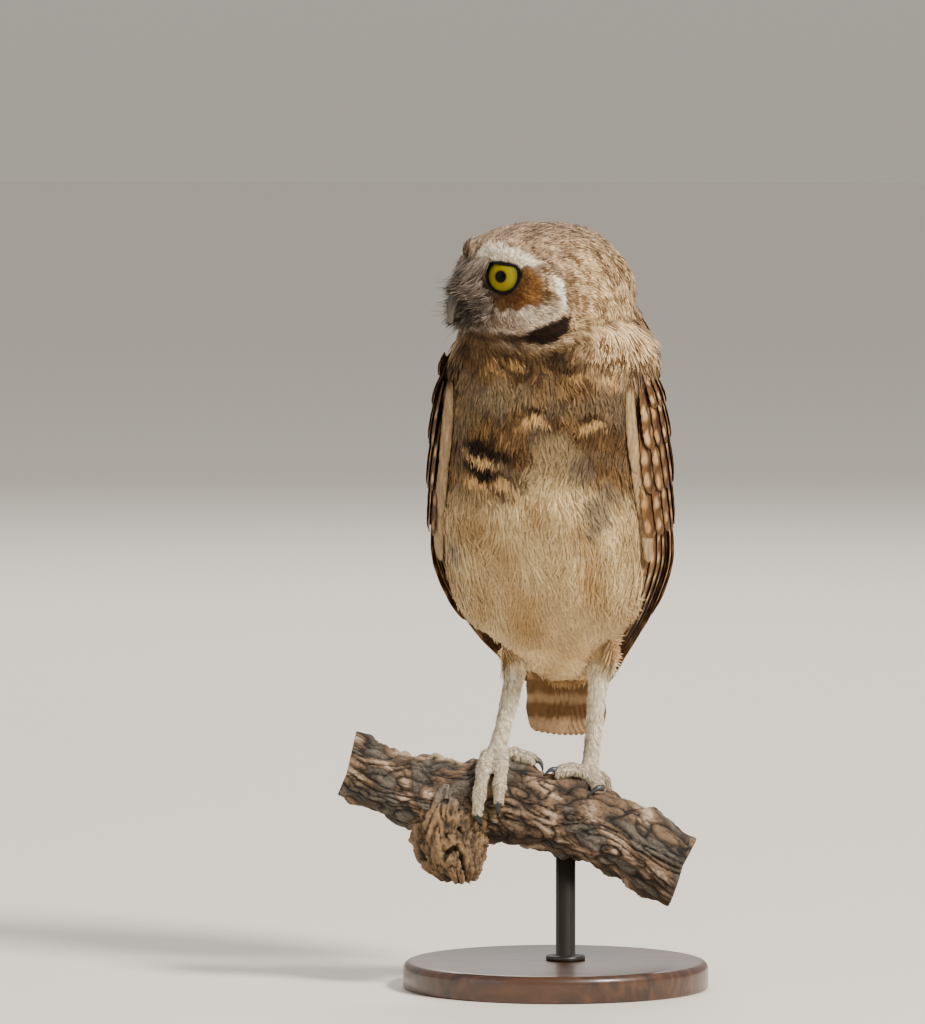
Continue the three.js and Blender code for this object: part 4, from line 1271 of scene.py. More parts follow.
def vane_colours(kind, length, seed):
    """Dark brown with a paler edge: buff drops beside the shaft on coverts, notches along flight feathers,
    and pale streaks on the loose feathers of the wing's front edge."""
    draw = np.random.default_rng(seed)
    u, t = np.broadcast_arrays(RING_U[None, :], RING_T[:, None])
    u = u + 0.05 * np.sin(t * 31 + seed)
    shade = draw.uniform(0, 0.4) + 0.2 * np.abs(u) + 0.18 * np.sin(t * 23 + u * 4 + seed)
    base = mix(WING_DARK, WING_MID, shade)
    if kind == "covert":
        low = 0.87 - draw.uniform(0, 0.1)
        rows = (low, low - draw.uniform(7.5, 11) / length)
        middle = draw.uniform(0.42, 0.62)
        front = spots(np.minimum(u, 0), t, rows, middle, 0.36, draw.uniform(1.7, 3.0) / length)
        rear = spots(np.maximum(u, 0), t, (low - 3 / length, low - 12 / length), 0.55, 0.34, 2.4 / length)
        mark = np.maximum(front, rear * (draw.random() > 0.25)) * draw.uniform(0.5, 1)
    elif kind == "flight":
        rows = np.arange(0.1, 1.0, 9.0 / length) + draw.uniform(-0.02, 0.02)
        mark = spots(np.minimum(u, 0), t, rows, 0.85, 0.42, 1.7 / length)
        mark = np.maximum(mark, 0.7 * spots(np.maximum(u, 0), t, rows, 0.9, 0.4, 1.7 / length))
    else:
        mark = smooth(t, 0.02, 0.12) * (0.85 + 0.15 * np.sin(t * 17 + 3 * u + seed))
    light = EDGE_PALE if kind == "edge" else between(SPOT, draw.uniform(0, 1) + 0.2 * np.sin(t * 50 + u * 9))
    # Painted light, with their own paler brown: flight feathers 1.3 times lighter against the shade between
    # the stacked vanes.
    base = base * (1.3 if kind == "flight" else 1)
    colour = mix(base, light, mark)
    shaft = np.exp(-((u / 0.07) ** 2))
    colour = mix(colour, WING_SHAFT, 0.6 * shaft * (t > 0.05) * (kind != "edge"))
    if kind == "edge":
        streak = 0.5 + 0.5 * np.sin(8 * u + 22 * t + 4 * np.sin(7 * t + seed))
        return mix(colour, TAN_EDGE * 0.6, 0.5 * streak**2 + 0.4 * smooth(np.abs(u), 0.5, 1))
    edge = smooth(np.abs(u), 0.8, 1.0) * (0.6 if kind == "flight" else 0.3) + smooth(t, 0.95, 1.0) * 0.3
    return mix(colour, TAN_EDGE, edge)


def vane_corner_uv(rows, columns, cell, cells):
    """Corners of a ring grid laid out flat in one cell of an atlas of cells by cells."""
    i = np.arange(rows - 1)[:, None, None]
    j = np.arange(columns)[None, :, None]
    dj, di = np.array([0, 1, 1, 0]), np.array([0, 0, 1, 1])
    u, v = (j + dj) / columns, (i + di) / (rows - 1)
    u, v = np.broadcast_arrays(u, v)
    left, low = cell % cells, cell // cells
    flat = np.stack([(left + 0.04 + 0.92 * u) / cells, (low + 0.04 + 0.92 * v) / cells], -1)
    return flat.reshape(-1, 2), np.stack([u, v], -1).reshape(-1, 2)


def vanes_piece(name, bodies, colours, cells):
    """Joins closed vanes into one piece with its colours, its atlas and its barb map."""
    xyz, faces = join([(rings, ring_faces(rings)) for rings in bodies])
    piece = put(name, xyz, faces, VANES)
    set_colours(piece, np.concatenate([c.reshape(-1, 3) for c in colours]))
    maps = [vane_corner_uv(*bodies[0].shape[:2], k, cells) for k in range(len(bodies))]
    for label, index in (("OFBake", 0), ("Vane", 1)):
        layer = piece.data.uv_layers.new(name=label)
        layer.data.foreach_set("uv", np.concatenate([m[index] for m in maps]).astype(np.float32).ravel())
    return piece


def wing(side, name):
    """All feathers of one wing, tier by tier."""
    t = np.linspace(0, 1, VANE_ROWS)
    bodies, colours = [], []
    for number, tier in enumerate(WING_TIERS.values()):
        for k in range(tier["count"]):
            seed = 1000 * (side + 2) + 50 * number + k
            middle, across, out = vane_places(side, tier, k, t)
            wide = tier["wide"] + tier.get("wider", 0) * (side < 0)
            body = vane_body(middle, across, out, wide, tier.get("lean", LEAN), DROOP, seed)
            bodies.append(body[:, ::-1] if side > 0 else body)
            length = np.linalg.norm(middle[-1] - middle[0])
            tint = vane_colours(tier["kind"], length, seed)
            colours.append(tint[:, ::-1] if side > 0 else tint)
    return vanes_piece(name, bodies, colours, 10)


wing_left = wing(1, "wing_left_feathers")
wing_right = wing(-1, "wing_right_feathers")
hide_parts("wing_left")
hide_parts("wing_right")

# %% [markdown]
# ## The tail
#
# Twelve tail feathers close to a narrow fan, with the middle pair on top. From the front only their
# undersides show below the fluff, dark brown with pale bars and a pale tip. They use the same closed vane as
# the wings do.


# %% Tail
TAIL_COUNT = 12
TAIL_SPREAD, TAIL_HALF, TAIL_STEP, TAIL_SUNK = 0.74, 4.6, 1.5, 10
TAIL_DARK, TAIL_BAR = paint("#7d5c3a"), paint("#b8966c")
TAIL_TIP, TAIL_SHAFT = paint("#c9a47a"), paint("#8d6d49")
BAR_PERIOD, BAR_PHASE = 10.1, 24.6


def tail_place(u, h, out):
    """Across the fan, with u from -1 to 1: (centre + width u, a straight line back + out - 1.6 u^2,
    h + 3 u^2 share)."""
    share = (TAIL["root"][1] - h) / (TAIL["root"][1] - TAIL["tip"][1])
    wide = TAIL["root_wide"] + (TAIL["tip_wide"] - TAIL["root_wide"]) * share
    y = TAIL["root"][0] + (TAIL["tip"][0] - TAIL["root"][0]) * share
    return points(TAIL["centre"] + wide * u, y + out - 1.6 * u**2, h + 3 * u**2 * np.maximum(share, 0) + FEET)


def tail_colours(middle, seed):
    """Bars by height: 6.7 mm dark, then 3.4 mm pale, and a pale tip below 18.5 mm."""
    draw = np.random.default_rng(seed)
    u, t = np.broadcast_arrays(RING_U[None, :], RING_T[:, None])
    h = np.interp(RING_T, np.linspace(0, 1, len(middle)), middle[:, 2] - FEET)[:, None] + 0 * u
    h = h + 1.2 * np.abs(u) + draw.uniform(-0.4, 0.4) + 0.15 * np.sin(u * 9)
    wave = 0.5 + 0.5 * np.sin((h - BAR_PHASE) * 2 * np.pi / BAR_PERIOD)
    colour = mix(TAIL_DARK, TAIL_BAR, smooth(wave, 0.56, 0.94))
    colour = mix(colour, TAIL_TIP, smooth(19.2 - h, 0, 1.4))
    return mix(colour, TAIL_SHAFT, 0.35 * np.exp(-((u / 0.06) ** 2)))


def tail():
    """The fan from the outer feathers to the middle, each layer one step further back."""
    t = np.linspace(0, 1, VANE_ROWS)
    bodies, colours = [], []
    for k in range(TAIL_COUNT):
        u = 2 * k / (TAIL_COUNT - 1) - 1
        layer = (1 - abs(u)) * TAIL_STEP
        h = TAIL["root"][1] - TAIL_SUNK + (TAIL["tip"][1] - TAIL["root"][1] + TAIL_SUNK) * t
        middle = tail_place(u * TAIL_SPREAD, h, layer)
        across = np.broadcast_to([1.0, 0, 0], middle.shape)
        out = np.broadcast_to([0, 1.0, 0], middle.shape)
        body = vane_body(middle, across, out, TAIL_HALF, 0.5 * np.sign(u), 0.2, 400 + k)
        bodies.append(body[:, ::-1])
        colours.append(tail_colours(middle, 400 + k)[:, ::-1])
    return vanes_piece("tail_feathers", bodies, colours, 4)


tail_feathers = tail()
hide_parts("tail")

# %% [markdown]
# ## Eyes
#
# An owl's eye is a wet ball set deep in feathers, with a bare black lid round it. The upper lid cuts the
# circle of the iris nearly flat, which gives the stern look. The ball is a sphere with a raised cornea. The
# colours come from a map that gives each point's distance from the eye's axis.


# %% Eyes
IRIS_RINGS = [  # distance from the axis as a part of the map, colour
    (0.0, paint("#010101")),
    (0.119, paint("#010101")),
    (0.125, paint("#4a4208")),
    (0.16, paint("#806f08")),
    (0.24, paint("#7e7110")),
    (0.30, paint("#5f5b12")),
    (0.325, paint("#3d3f0e")),
    (0.335, paint("#050403")),
    (1.0, paint("#040302")),
]
GAZE_WIDTH = 20
LID_SECTION = np.array(  # out from the lids' edge, up from the eyeball's surface
    [[-0.15, -0.6], [-0.1, 0.05], [0.1, 0.3], [0.4, 0.36], [0.75, 0.15], [0.95, -0.5], [0.4, -1.3]]
)


def eye_grid():
    """A sphere whose pole looks out: radius * (sin a cos b, -cos a, sin a sin b), with the cornea raised by
    0.3 mm within 35 degrees of the axis."""
    a = np.radians(np.linspace(0.01, 179.99, 72))[:, None]
    b = np.linspace(0, 2 * np.pi, 96, endpoint=False)[None, :]
    r = EYE["radius"] - 0.2 + 0.3 * np.exp(-((a / 0.62) ** 4))
    return points(r * np.sin(a) * np.cos(b), -r * np.cos(a), r * np.sin(a) * np.sin(b))


def eye_material():
    """Rings by distance from the axis: black pupil, yellow-green iris with fine fibres, dark edge."""
    material, nodes, links, shader = new_material("wet_eye")
    gaze = nodes.new("ShaderNodeUVMap")
    gaze.uv_map = "Gaze"
    middle = nodes.new("ShaderNodeVectorMath")
    middle.operation = "SUBTRACT"
    middle.inputs[1].default_value = (0.5, 0.5, 0)
    links.new(gaze.outputs["UV"], middle.inputs[0])
    length = nodes.new("ShaderNodeVectorMath")
    length.operation = "LENGTH"
    links.new(middle.outputs["Vector"], length.inputs[0])
    fibres = add_node(nodes, "TexNoise", Scale=55, Detail=4)
    links.new(gaze.outputs["UV"], fibres.inputs["Vector"])
    shift = nodes.new("ShaderNodeMath")
    shift.operation = "MULTIPLY_ADD"
    links.new(fibres.outputs["Fac"], shift.inputs[0])
    shift.inputs[1].default_value = 0.012
    links.new(length.outputs["Value"], shift.inputs[2])
    rings = colour_ramp(nodes, *IRIS_RINGS)
    links.new(shift.outputs["Value"], rings.inputs["Fac"])
    links.new(rings.outputs["Color"], shader.inputs["Base Color"])
    set_inputs(shader, Roughness=0.3, Specular_IOR_Level=0.04, Coat_Weight=0.13, Coat_Roughness=0.03)
    return material


def lid_ring(side):
    """The black lids: the section carried round the lids' edge as a closed rim, just off the eyeball."""
    a = np.linspace(0, 2 * np.pi, 120, endpoint=False)
    edge = lid_radius(a)
    r = edge[None] + LID_SECTION[:, :1]
    depth = np.sqrt(np.maximum((EYE["radius"] + 0.25) ** 2 - np.minimum(edge, 7.6) ** 2, 4.0))
    return points(side * r * np.cos(a), -(depth[None] + LID_SECTION[:, 1:]), r * np.sin(a))


EYE_WET = eye_material()
LID_BLACK, _, _, lid_shader = new_material("bare_black_lid")
set_inputs(lid_shader, Base_Color=(*paint("#070504"), 1), Roughness=0.6, Specular_IOR_Level=0.15)
for name, side in (("left", 1), ("right", -1)):
    ball = eye_grid()
    piece = put("eyeball_" + name, place_eye(ball, side), ring_faces(ball), EYE_WET)
    flat = ball.reshape(-1, 3)
    lid_edge = lid_radius(np.arctan2(flat[:, 2], side * flat[:, 0])) + 0.1
    seen = (flat[:, 1] < 0) & (np.hypot(flat[:, 0], flat[:, 2]) <= lid_edge)
    set_uv(piece, np.where(seen[:, None], flat[:, [0, 2]] / GAZE_WIDTH + 0.5, 0.99), "Gaze")
    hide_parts("eye_" + name)
    ring = lid_ring(side)
    faces = ring_faces(ring, round_rows=True)
    faces = faces if side < 0 else faces[:, ::-1]
    lid = put("lids_" + name, place_eye(ring, side), faces, LID_BLACK)

# %% [markdown]
# ## Bill, nostrils and bristles
#
# The bill hooks straight down from the face and is mostly hidden by bristly feathers. Each half is a ring of
# points carried along a curved path, its size falling to the tip. The bristles are the same tufts as the
# coat's, longer, thinner and lying forwards over the bill.


# %% Bill
def bill_half(reach, drop, root, wide, deep, under, rows=40, columns=48):
    """Ring at t: middle (0, -(29 + reach sin(1.75 t)), 3.5 + root - drop t^1.5), size sqrt(1 - 0.97 t),
    turned by -90 t degrees, with a keel that narrows the top."""
    t = np.linspace(0, 1, rows)[:, None]
    a = np.linspace(0, 2 * np.pi, columns, endpoint=False)[None, :]
    size = np.sqrt(1 - t * 0.97)
    turn = np.radians(-90 * t)
    high = np.where(np.sin(a) > 0, deep, under)
    keel = 1 - 0.22 * np.maximum(np.sin(a), 0) ** 2
    x = wide * size * np.cos(a) * keel
    z = high * size * np.sin(a)
    middle_y = -(BILL["root"] + reach * np.sin(t * 1.75))
    middle_z = BILL["up"] + root - drop * t**1.5
    return from_head(closed(points(x, middle_y + z * np.sin(turn), middle_z + z * np.cos(turn))))


def horn_material(name, root_code, tip_code, low, high):
    """Horn that changes from root to tip by the height of the point, with a faint grain."""
    material, nodes, links, shader = new_material(name)
    where = nodes.new("ShaderNodeTexCoord")
    split = nodes.new("ShaderNodeSeparateXYZ")
    links.new(where.outputs["Object"], split.inputs["Vector"])
    level = add_node(nodes, "MapRange", From_Min=low * MM, From_Max=high * MM)
    links.new(split.outputs["Z"], level.inputs["Value"])
    tint = colour_ramp(nodes, (0, paint(tip_code)), (1, paint(root_code)))
    links.new(level.outputs["Result"], tint.inputs["Fac"])
    links.new(tint.outputs["Color"], shader.inputs["Base Color"])
    grain = object_noise(nodes, links, Scale=900)
    bump_from(nodes, links, shader, grain, 0.15, 0.0003)
    set_inputs(shader, Roughness=0.32)
    return material


bill_level = HEAD_CENTRE[2]
# Painted shade: the bill's grey horn is painted near black at the root and dark olive at the tip, for the
# shade it lies in among the bristles.
BILL_HORN_IN_PAINTED_SHADE = horn_material("bill_horn_painted_shade", "#221d19", "#544b3d", bill_level - 12, bill_level + 4)
upper = bill_half(BILL["reach"], BILL["drop"], 0, BILL["wide"], BILL["deep"], BILL["deep"] * 0.45)
lower = bill_half(BILL["reach"] * 0.75, BILL["drop"] * 0.5, -5.5, BILL["wide"] * 0.8, 3.0, 2.4)
for name, rings in (("bill_upper", upper), ("bill_lower", lower)):
    piece = put(name + "_horn", rings, ring_faces(rings), BILL_HORN_IN_PAINTED_SHADE)
    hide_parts(name)


BRISTLE_BLADES = 4


def bristles(name, count, reach, length, half, spread, dark, seed, levels=(-18, 14), press=0.5, bright=0.0):
    """Fans of long thin blades rooted round the bill, up to `reach` degrees from it and between two levels.
    They point ahead and downwards, the upper ones in over the bill and the lower ones outwards. `press`
    flattens them onto the face, `dark` blackens their tips and `bright` pales the upper ones."""
    draw = np.random.default_rng(seed)
    az, el = draw.uniform(-reach, reach, count), draw.uniform(*levels, count)
    roots = head_surface(az, el, HEAD_DEPTH)
    keep = (np.hypot(az / 6, (el - 1) / 6) > 1) & (lid_gap(to_head(roots)) > 1.5)
    az, el, roots = az[keep], el[keep], roots[keep]
    normal = unit(roots - HEAD_CENTRE)
    inward = np.where(el > -3, -0.012, 0.02)
    down = np.where(el > 2, -0.045 * el - 0.2, 0.03 * (el - 4))
    forward = np.stack([inward * az, np.full(len(az), -1.0), down], -1)
    forward = unit(forward + draw.normal(0, spread, forward.shape)) @ HEAD_MATRIX.T
    lie = unit(forward - press * (forward * normal).sum(-1, keepdims=True) * normal)
    length = length * draw.uniform(0.7, 1.2, len(az))
    xyz = tufts(roots, normal, lie, length, half, 11.0, 0.2, 0.12, BRISTLE_BLADES, seed, sink=0.2)
    tone = draw.uniform(0.1, 1.1, (len(az), 1, 1)) + bright * smooth(el, 6, 20)[:, None, None]
    palest = mix(LORES[1], BROW[1], 0.6 * (tone - 0.7).clip(0, 1))
    colour = mix(LORES[0], palest, tone.clip(0, 1) + 0 * xyz[..., 0])
    colour = mix(colour, paint("#191210"), smooth(BLADE_T, 0.5, 1.0) * dark)
    piece = tuft_piece(name, xyz, colour, unwrap_head(roots))


bristles("bill_bristles", 1500, 23, 8.0, 0.12, 0.12, 0.5, 71)
bristles("bill_bridge", 1700, 21, 9.6, 0.12, 0.2, 0.25, 73, levels=(2, 26), press=0.2, bright=0.15)
bristles("bill_whiskers", 90, 26, 12.0, 0.07, 0.3, 0.95, 75)

# %% [markdown]
# ## Claws
#
# A claw is a smooth, bluish grey cone of horn that carries on from the toe and curves down to the bark. It is
# the path of the solid's claw with many more sides.


# %% Claws
def claw_path(toe, count=18):
    """Points end + ahead * length (t - 0.12 - 0.25 t^2) + down * (2.4 t^2 - 1.2 sin 3t), and their t."""
    along, degrees = toe["along"][1], toe["round"][1]
    end = on_branch(along, degrees, TOE["radius"] - 0.2)
    near = toe_path(toe, 0.9, 1, TOE["radius"] - 0.2, 2)[0]
    ahead = unit(unit(end - near) + toe.get("aim", 0) * turn_z(PERCH_TURN)[:, 0])
    down = unit(on_branch(along, degrees, 0) - on_branch(along, degrees, 5))
    t = np.linspace(0, 1, count)[:, None]
    path = end + ahead * toe["claw"] * (t - 0.12 - 0.25 * t**2) + down * (2.4 * t**2 - 1.2 * np.sin(t * 3))
    return path, t[:, 0]


CLAW_HORN = horn_material("claw_horn", "#4b4f52", "#0c0c0d", 66, 104)
for side, toes in TOES.items():
    for toe in toes:
        path, t = claw_path(toe)
        rings = tube(path, TOE["claw"] * 0.92 * (1.03 - t) ** 0.75, 20)
        name = f"claw_{side}_{toe['name']}"
        piece = put(name + "_horn", rings, ring_faces(rings), CLAW_HORN)
        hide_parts(name)

# %% [markdown]
# ## The branch
#
# The dead branch has lost most of its bark: what is left is cracked along its length and flakes off in
# plates. Its surface is a grid round the branch, lowered along cracks and raised on plates by layered sine
# fields stretched along the wood. The ends are sawn.


# %% Bark
def warped(p, scale, seed):
    """Noise at points that another noise has pushed about, which breaks up its regular waves."""
    push = np.stack([noise(p, scale * 1.6, seed + k) for k in (1, 2, 3)], -1)
    return noise(p + 0.5 * scale * push, scale, seed)


def bark_fields(along, a):
    """Height and depth of cracks. Each octave is |warped noise|, which falls to 0 in a sharp valley, and the
    coarse one is cut into ledges, as flaking bark is. All are stretched along the wood."""
    p = np.stack([along * 0.42, 15 * np.cos(a), 15 * np.sin(a)], -1)
    plates = np.abs(warped(p, 9.5, 81))
    chips = np.abs(warped(p, 4.2, 91))
    fibres = np.abs(warped(p * [0.6, 1, 1], 1.7, 95))
    ledge = plates * 4
    ledge = (np.floor(ledge) + smooth(ledge % 1, 0.25, 0.75)) / 4
    height = 1.5 * np.minimum(0.5 * plates + 0.5 * ledge, 0.9) + 0.75 * np.minimum(chips, 0.7) + 0.35 * fibres
    crack = np.maximum(1 - smooth(plates, 0.03, 0.2), 0.75 * (1 - smooth(chips, 0.02, 0.14)))
    return height - 1.15, np.maximum(crack, 0.35 * (1 - smooth(fibres, 0.02, 0.25)))


def bark_grid(rows, columns):
    """Points of the branch, radius + shared relief + bark's height, with the cracks and a patch field."""
    along = np.linspace(BRANCH_TABLE[0][0], BRANCH_TABLE[-1][0], rows)[:, None]
    a = np.linspace(0, 360, columns, endpoint=False)[None, :]
    along, a = np.broadcast_arrays(along, a)
    height, crack = bark_fields(along, np.radians(a))
    p = np.stack([along * 0.5, 15 * np.cos(np.radians(a)), 15 * np.sin(np.radians(a))], -1)
    return on_branch(along, a, height), crack, height, warped(p, 13, 86)


STUB_TABLE = np.array(  # along the branch, back, height above the feet, radius
    [[-40, 0, -4, 13], [-42, -3, -16, 16], [-43, -5, -28, 15], [-42, -6, -38, 12], [-40, -6, -43, 7.5]]
)


def stub_grid(rows, columns):
    """The broken stub: rings about its path. Torn fibres run down it, rot has left pits, and the lower edge
    is ragged: how far it reaches changes round it."""
    t = np.linspace(0, 1, rows)
    path = STUB_TABLE[:, :3] @ turn_z(PERCH_TURN).T + [0, 0, FEET]
    keys = np.linspace(0, 1, len(STUB_TABLE))
    x, y, z, radius = stations(np.column_stack([keys, path, STUB_TABLE[:, 3]]), t)
    a = np.linspace(0, 2 * np.pi, columns, endpoint=False)[None, :]
    p = points(11 * np.cos(a), 11 * np.sin(a), 0.28 * z[:, None])
    fibre = np.abs(warped(p, 4.5, 87)) + 0.5 * np.abs(warped(p, 1.9, 97)) + 0.25 * np.abs(warped(p, 0.9, 99))
    pit = smooth(warped(p * [1, 1, 2.2], 9, 101), 0.45, 0.75)
    radius = radius[:, None] + 1.5 * (fibre - 0.8) - 2.2 * pit
    down = 2.2 * noise(p[-1:] * [1, 1, 0], 7, 103) * smooth(t, 0.7, 1)[:, None]
    rings = points(x[:, None] + radius * np.cos(a), y[:, None] + radius * np.sin(a), z[:, None] + down)
    return closed(rings), with_ends(fibre), with_ends(pit), with_ends(z[:, None] + 0 * a)


def with_ends(v):
    """Values on rings, with the first and the last ring's once more, for the rings that close the ends."""
    return np.concatenate([v[:1], v, v[-1:]])


def bark_material():
    """Grey-brown weathered wood from the mesh's colours, with fine grain as bump."""
    material, nodes, links, shader = new_material("weathered_bark")
    grain = object_noise(nodes, links, Scale=420, Detail=6, Roughness=0.65)
    stored_colour(nodes, links, shader, "wood", grain, 0.7, 1.3)
    bump_from(nodes, links, shader, grain, 0.6, 0.0006)
    set_inputs(shader, Roughness=0.88)
    return material


BARK_BROWN = [paint("#3f3125"), paint("#776049")]
BARK_GREY, BARK_TAN, BARK_CRACK_AND_SHADE = paint("#625a4f"), paint("#a8927a"), paint("#120b06")
TORN_WOOD_AND_GROOVE_SHADE = [paint("#2b1f12"), paint("#84694a")]
STUB_GREY, STUB_PIT_AND_SHADE = paint("#6b625b"), paint("#150d07")


def bark_colours(crack, height, patch):
    """Brown, tan on some plates and grey on others, with painted shade darker the lower it lies, and nearly
    black in cracks, partly dark wood and partly painted shade.
    """
    colour = mix(*BARK_BROWN, smooth(patch, -0.3, 0.4))
    colour = mix(colour, BARK_GREY, smooth(-patch, 0.15, 0.6) * 0.85)
    colour = mix(colour, BARK_TAN, smooth(patch, 0.4, 0.8) * smooth(height, -0.3, 0.4))
    # Painted shade: the colour falls to 0.22 of itself where the bark lies low.
    colour = colour * (0.22 + 0.85 * smooth(height, -1.0, 0.55))[..., None]
    # Cracks: partly dark wood, partly painted shade.
    return mix(colour, BARK_CRACK_AND_SHADE, crack * 0.9)


def stub_colours(fibre, pit, z):
    """Tan torn wood, painted darker down between the raised fibres as painted shade, and nearly black in the
    pits, partly rotten wood and partly painted shade, under a grey edge of bark at the top.
    """
    # Painted shade: darker down between the fibres, tan on the raised ones.
    colour = mix(*TORN_WOOD_AND_GROOVE_SHADE, smooth(fibre, 0.15, 1.1))
    colour = mix(colour, STUB_GREY, smooth(z - FEET, -15, -8) * 0.9)
    # The pits: partly dark rotten wood, partly painted shade.
    return mix(colour, STUB_PIT_AND_SHADE, pit * 0.9)


BARK = bark_material()
rings, crack, height, patch = bark_grid(380, 240)
branch = put("branch_bark", rings, ring_faces(rings)[:, ::-1], BARK)
set_colours(branch, bark_colours(crack, height, patch), "wood")
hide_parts("perch")
stub_rings, fibre, pit, level = stub_grid(150, 160)
stub = put("broken_stub", stub_rings, ring_faces(stub_rings)[:, ::-1], BARK)
set_colours(stub, stub_colours(fibre, pit, level), "wood")
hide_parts("perch_stub")

# %% [markdown]
# ## Sawn ends
#
# A clean saw cut closes each end of the branch and shows its year rings. The disc's rings shrink to the
# middle, and a map from 0 to 1 across it lets the material draw the years.


# %% Sawn ends
def cut_material():
    """Year rings: a wave of the distance from the middle of the map, shaken by noise."""
    material, nodes, links, shader = new_material("sawn_wood")
    flat = nodes.new("ShaderNodeUVMap")
    flat.uv_map = "Rings"
    wave = add_node(nodes, "TexWave", Scale=5.5, Distortion=2.2, Detail=3)
    wave.wave_type = "RINGS"
    wave.rings_direction = "SPHERICAL"
    centre = add_node(nodes, "Mapping", Location=(-0.47, -0.52, 0))
    links.new(flat.outputs["UV"], centre.inputs["Vector"])
    links.new(centre.outputs["Vector"], wave.inputs["Vector"])
    tint = colour_ramp(nodes, (0, paint("#a07a52")), (1, paint("#d2b184")))
    links.new(wave.outputs["Fac"], tint.inputs["Fac"])
    links.new(tint.outputs["Color"], shader.inputs["Base Color"])
    set_inputs(shader, Roughness=0.8)
    return material


SAWN = cut_material()
for name, ring, outward in (("sawn_end_left", rings[0], 1), ("sawn_end_right", rings[-1], -1)):
    middle = ring.mean(axis=0)
    share = np.linspace(1, 0, 12)[:, None, None]
    disc = middle + (ring - middle)[None] * share
    faces = ring_faces(disc)
    piece = put(name, disc, faces[:, ::-1] if outward > 0 else faces, SAWN, soft=False)
    a = np.linspace(0, 2 * np.pi, ring.shape[0], endpoint=False)
    flat = np.stack([0.5 + 0.5 * share[..., 0] * np.cos(a), 0.5 + 0.5 * share[..., 0] * np.sin(a)], -1)
    set_uv(piece, flat.reshape(-1, 2), "Rings")

# %% [markdown]
# ## The display stand
#
# The photo's branch belongs to a tree, so the model is held by a plain stand: a turned wooden base and one
# steel rod into the branch, with a small collar at its foot. Both are profiles spun round an axis.


# %% Stand
def spun(profile, centre, columns=128):
    """Rings of a profile (radius, height) about an upright axis through the centre."""
    profile = np.asarray(profile, float)
    a = np.linspace(0, 2 * np.pi, columns, endpoint=False)[None, :]
    r = profile[:, :1]
    return points(centre[0] + r * np.cos(a), centre[1] + r * np.sin(a), profile[:, 1:] + 0 * a)


def rounded(radius, corner, low, high, steps=8):
    """Profile of a disc with its upper edge rounded by a quarter circle, and a fine foot."""
    a = np.linspace(0, np.pi / 2, steps)
    arc = np.stack([radius - corner + corner * np.cos(a), high - corner + corner * np.sin(a)], -1)
    foot = [[0, low], [radius - 1, low], [radius - 0.3, low + 0.3], [radius, low + 1]]
    return np.concatenate([foot, arc, [[0, high]]])


def varnish_material():
    """Dark varnished wood: stretched noise as grain under a clear coat."""
    material, nodes, links, shader = new_material("varnished_base")
    where = nodes.new("ShaderNodeTexCoord")
    stretch = add_node(nodes, "Mapping", Scale=(20, 190, 60))
    links.new(where.outputs["Object"], stretch.inputs["Vector"])
    grain = add_node(nodes, "TexNoise", Scale=1.6, Detail=8, Distortion=0.6)
    links.new(stretch.outputs["Vector"], grain.inputs["Vector"])
    tint = colour_ramp(nodes, (0.35, paint("#2a170d")), (0.7, paint("#5a3823")))
    links.new(grain.outputs["Fac"], tint.inputs["Fac"])
    links.new(tint.outputs["Color"], shader.inputs["Base Color"])
    set_inputs(shader, Roughness=0.4, Coat_Weight=0.5, Coat_Roughness=0.15)
    return material


def steel_material():
    """Satin black paint with a fine orange-peel bump."""
    material, nodes, links, shader = new_material("black_rod")
    peel = object_noise(nodes, links, Scale=1500)
    bump_from(nodes, links, shader, peel, 0.08, 0.0002)
    set_inputs(shader, Base_Color=(*paint("#26231f"), 1), Roughness=0.38)
    return material


BASE_CORNER = 3.2
COLLAR_WIDE, COLLAR_CHAMFER = 4, 3.4
COLLAR_SIDE, COLLAR_EDGE, COLLAR_TOP = 1.6, 2.2, 2.4
ROD_SUNK = 1
base_low, base_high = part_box("stand_base")
rod_low, rod_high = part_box("stand_rod")
base_radius = (base_high.x - base_low.x) / 2 / MM
rod_centre = [(rod_low.x + rod_high.x) / 2 / MM, (rod_low.y + rod_high.y) / 2 / MM]
rod_radius = (rod_high.x - rod_low.x) / 2 / MM
base_rings = spun(rounded(base_radius, BASE_CORNER, 0, base_high.z / MM), (0, 0))
base = put("turned_base", base_rings, ring_faces(base_rings), varnish_material())
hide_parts("stand_base")
foot = base_high.z / MM
rod_top = rod_high.z / MM - ROD_SUNK
rod_profile = [
    [0, foot + 0.05],
    [rod_radius + COLLAR_WIDE, foot + 0.05],
    [rod_radius + COLLAR_WIDE, foot + COLLAR_SIDE],
    [rod_radius + COLLAR_CHAMFER, foot + COLLAR_EDGE],
    [rod_radius, foot + COLLAR_TOP],
    [rod_radius, rod_top],
    [0, rod_top],
]
rod_rings = spun(rod_profile, rod_centre, 64)
rod = put("steel_rod", rod_rings, ring_faces(rod_rings), steel_material())
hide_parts("stand_rod")

# %% [markdown]
# ## The floor
#
# A plain pale floor catches the model's shadow. One quad is enough, wide enough that its edge never shows.

# %% Floor
FLOOR_REACH = 30000.0
floor_xyz = FLOOR_REACH * np.array([[-1, -1, 0], [1, -1, 0], [1, 1, 0], [-1, 1, 0]])
FLOOR, _, _, floor_shader = new_material("pale_floor")
set_inputs(floor_shader, Base_Color=(*paint("#ece5da"), 1), Roughness=0.9)
floor = put("studio_floor", floor_xyz, [[0, 1, 2, 3]], FLOOR, body=None)

# %% [markdown]
# ## Light
#
# Sunlight reaches the bird from the upper right. A small warm lamp there stands for the sun, a broad cool one
# on the left lights the shadows as the sky does, and a third behind draws a rim on the feathers. The world
# around adds an even light, so that no side goes black.


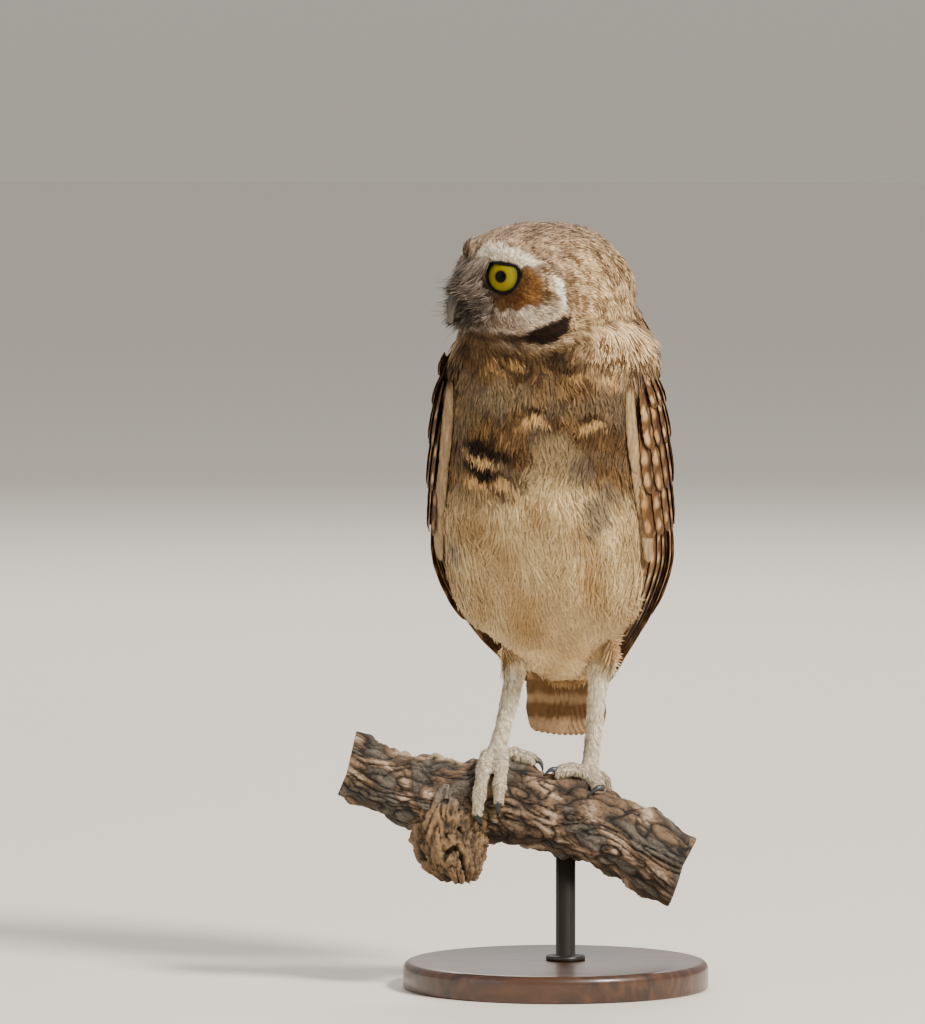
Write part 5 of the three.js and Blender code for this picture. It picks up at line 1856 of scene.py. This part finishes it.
# %% Lights
def area_light(name, place, target, size, power, colour):
    """A round lamp aimed from its place at a target, in metres."""
    lamp = bpy.data.lights.new(name, "AREA")
    lamp.shape = "DISK"
    lamp.size = size
    lamp.energy = power
    lamp.color = colour
    holder = bpy.data.objects.new(name, lamp)
    bpy.context.scene.collection.objects.link(holder)
    holder.location = place
    holder.rotation_euler = (Vector(target) - Vector(place)).to_track_quat("-Z", "Y").to_euler()


CENTRE = (0, 0, 0.2)
LAMPS = [  # name, place, size, power, colour
    ("key", (2.2, -1.4, 2.4), 0.8, 190, (1.0, 0.94, 0.86)),
    ("fill", (-2.6, -2.4, 1.2), 2.8, 20, (0.92, 0.96, 1.0)),
    ("rim", (-0.6, 2.6, 2.2), 1.8, 56, (1.0, 0.98, 0.95)),
]
HORIZON = (0.45, 0.41, 0.36)
SKY = (0.5, 0.485, 0.465)


def studio_world(horizon, above):
    """Even light from all round, which near the horizon fades into the far floor's tone."""
    world = bpy.data.worlds.new("studio")
    world.use_nodes = True
    nodes, links = world.node_tree.nodes, world.node_tree.links
    where = nodes.new("ShaderNodeTexCoord")
    split = nodes.new("ShaderNodeSeparateXYZ")
    links.new(where.outputs["Generated"], split.inputs["Vector"])
    tone = colour_ramp(nodes, (0, horizon), (0.25, above))
    links.new(split.outputs["Z"], tone.inputs["Fac"])
    links.new(tone.outputs["Color"], nodes["Background"].inputs["Color"])
    bpy.context.scene.world = world


for name, place, size, power, colour in LAMPS:
    area_light(name, place, CENTRE, size, power, colour)
studio_world(HORIZON, SKY)
print("lamps:", [lamp[0] for lamp in LAMPS])

# %% [markdown]
# ## Camera
#
# The camera stands far away with a long lens, so the bird keeps its proportions. A pixel of the picture,
# which is 1024 pixels high, covers 0.405 mm at the bird, and the lens follows from that and the distance. The
# feet's place in the picture gives the point to aim at.

# %% Camera
AZIMUTH, ELEVATION, DISTANCE = np.radians(12), np.radians(3), 3.2
PIXEL = 0.000405
PICTURE = (925, 1024)
FEET_PIXEL = (556, 772)
SENSOR = 36
level_x, level_y = np.sin(AZIMUTH), -np.cos(AZIMUTH)
back = np.array([level_x * np.cos(ELEVATION), level_y * np.cos(ELEVATION), np.sin(ELEVATION)])
right = np.array([np.cos(AZIMUTH), np.sin(AZIMUTH), 0])
aim = np.array([0, 0, FEET * MM]) + right * (PICTURE[0] / 2 - FEET_PIXEL[0]) * PIXEL
aim = aim + np.array([0, 0, 1]) * (FEET_PIXEL[1] - PICTURE[1] / 2) * PIXEL
camera = bpy.data.objects.new("camera", bpy.data.cameras.new("camera"))
bpy.context.scene.collection.objects.link(camera)
camera.data.lens = SENSOR * DISTANCE / (PICTURE[1] * PIXEL)
camera.data.clip_end = 100
camera.location = Vector(aim + back * DISTANCE)
camera.rotation_euler = Vector(-back).to_track_quat("-Z", "Y").to_euler()
bpy.context.scene.camera = camera
print("lens", round(camera.data.lens, 1), "mm at", DISTANCE, "m")
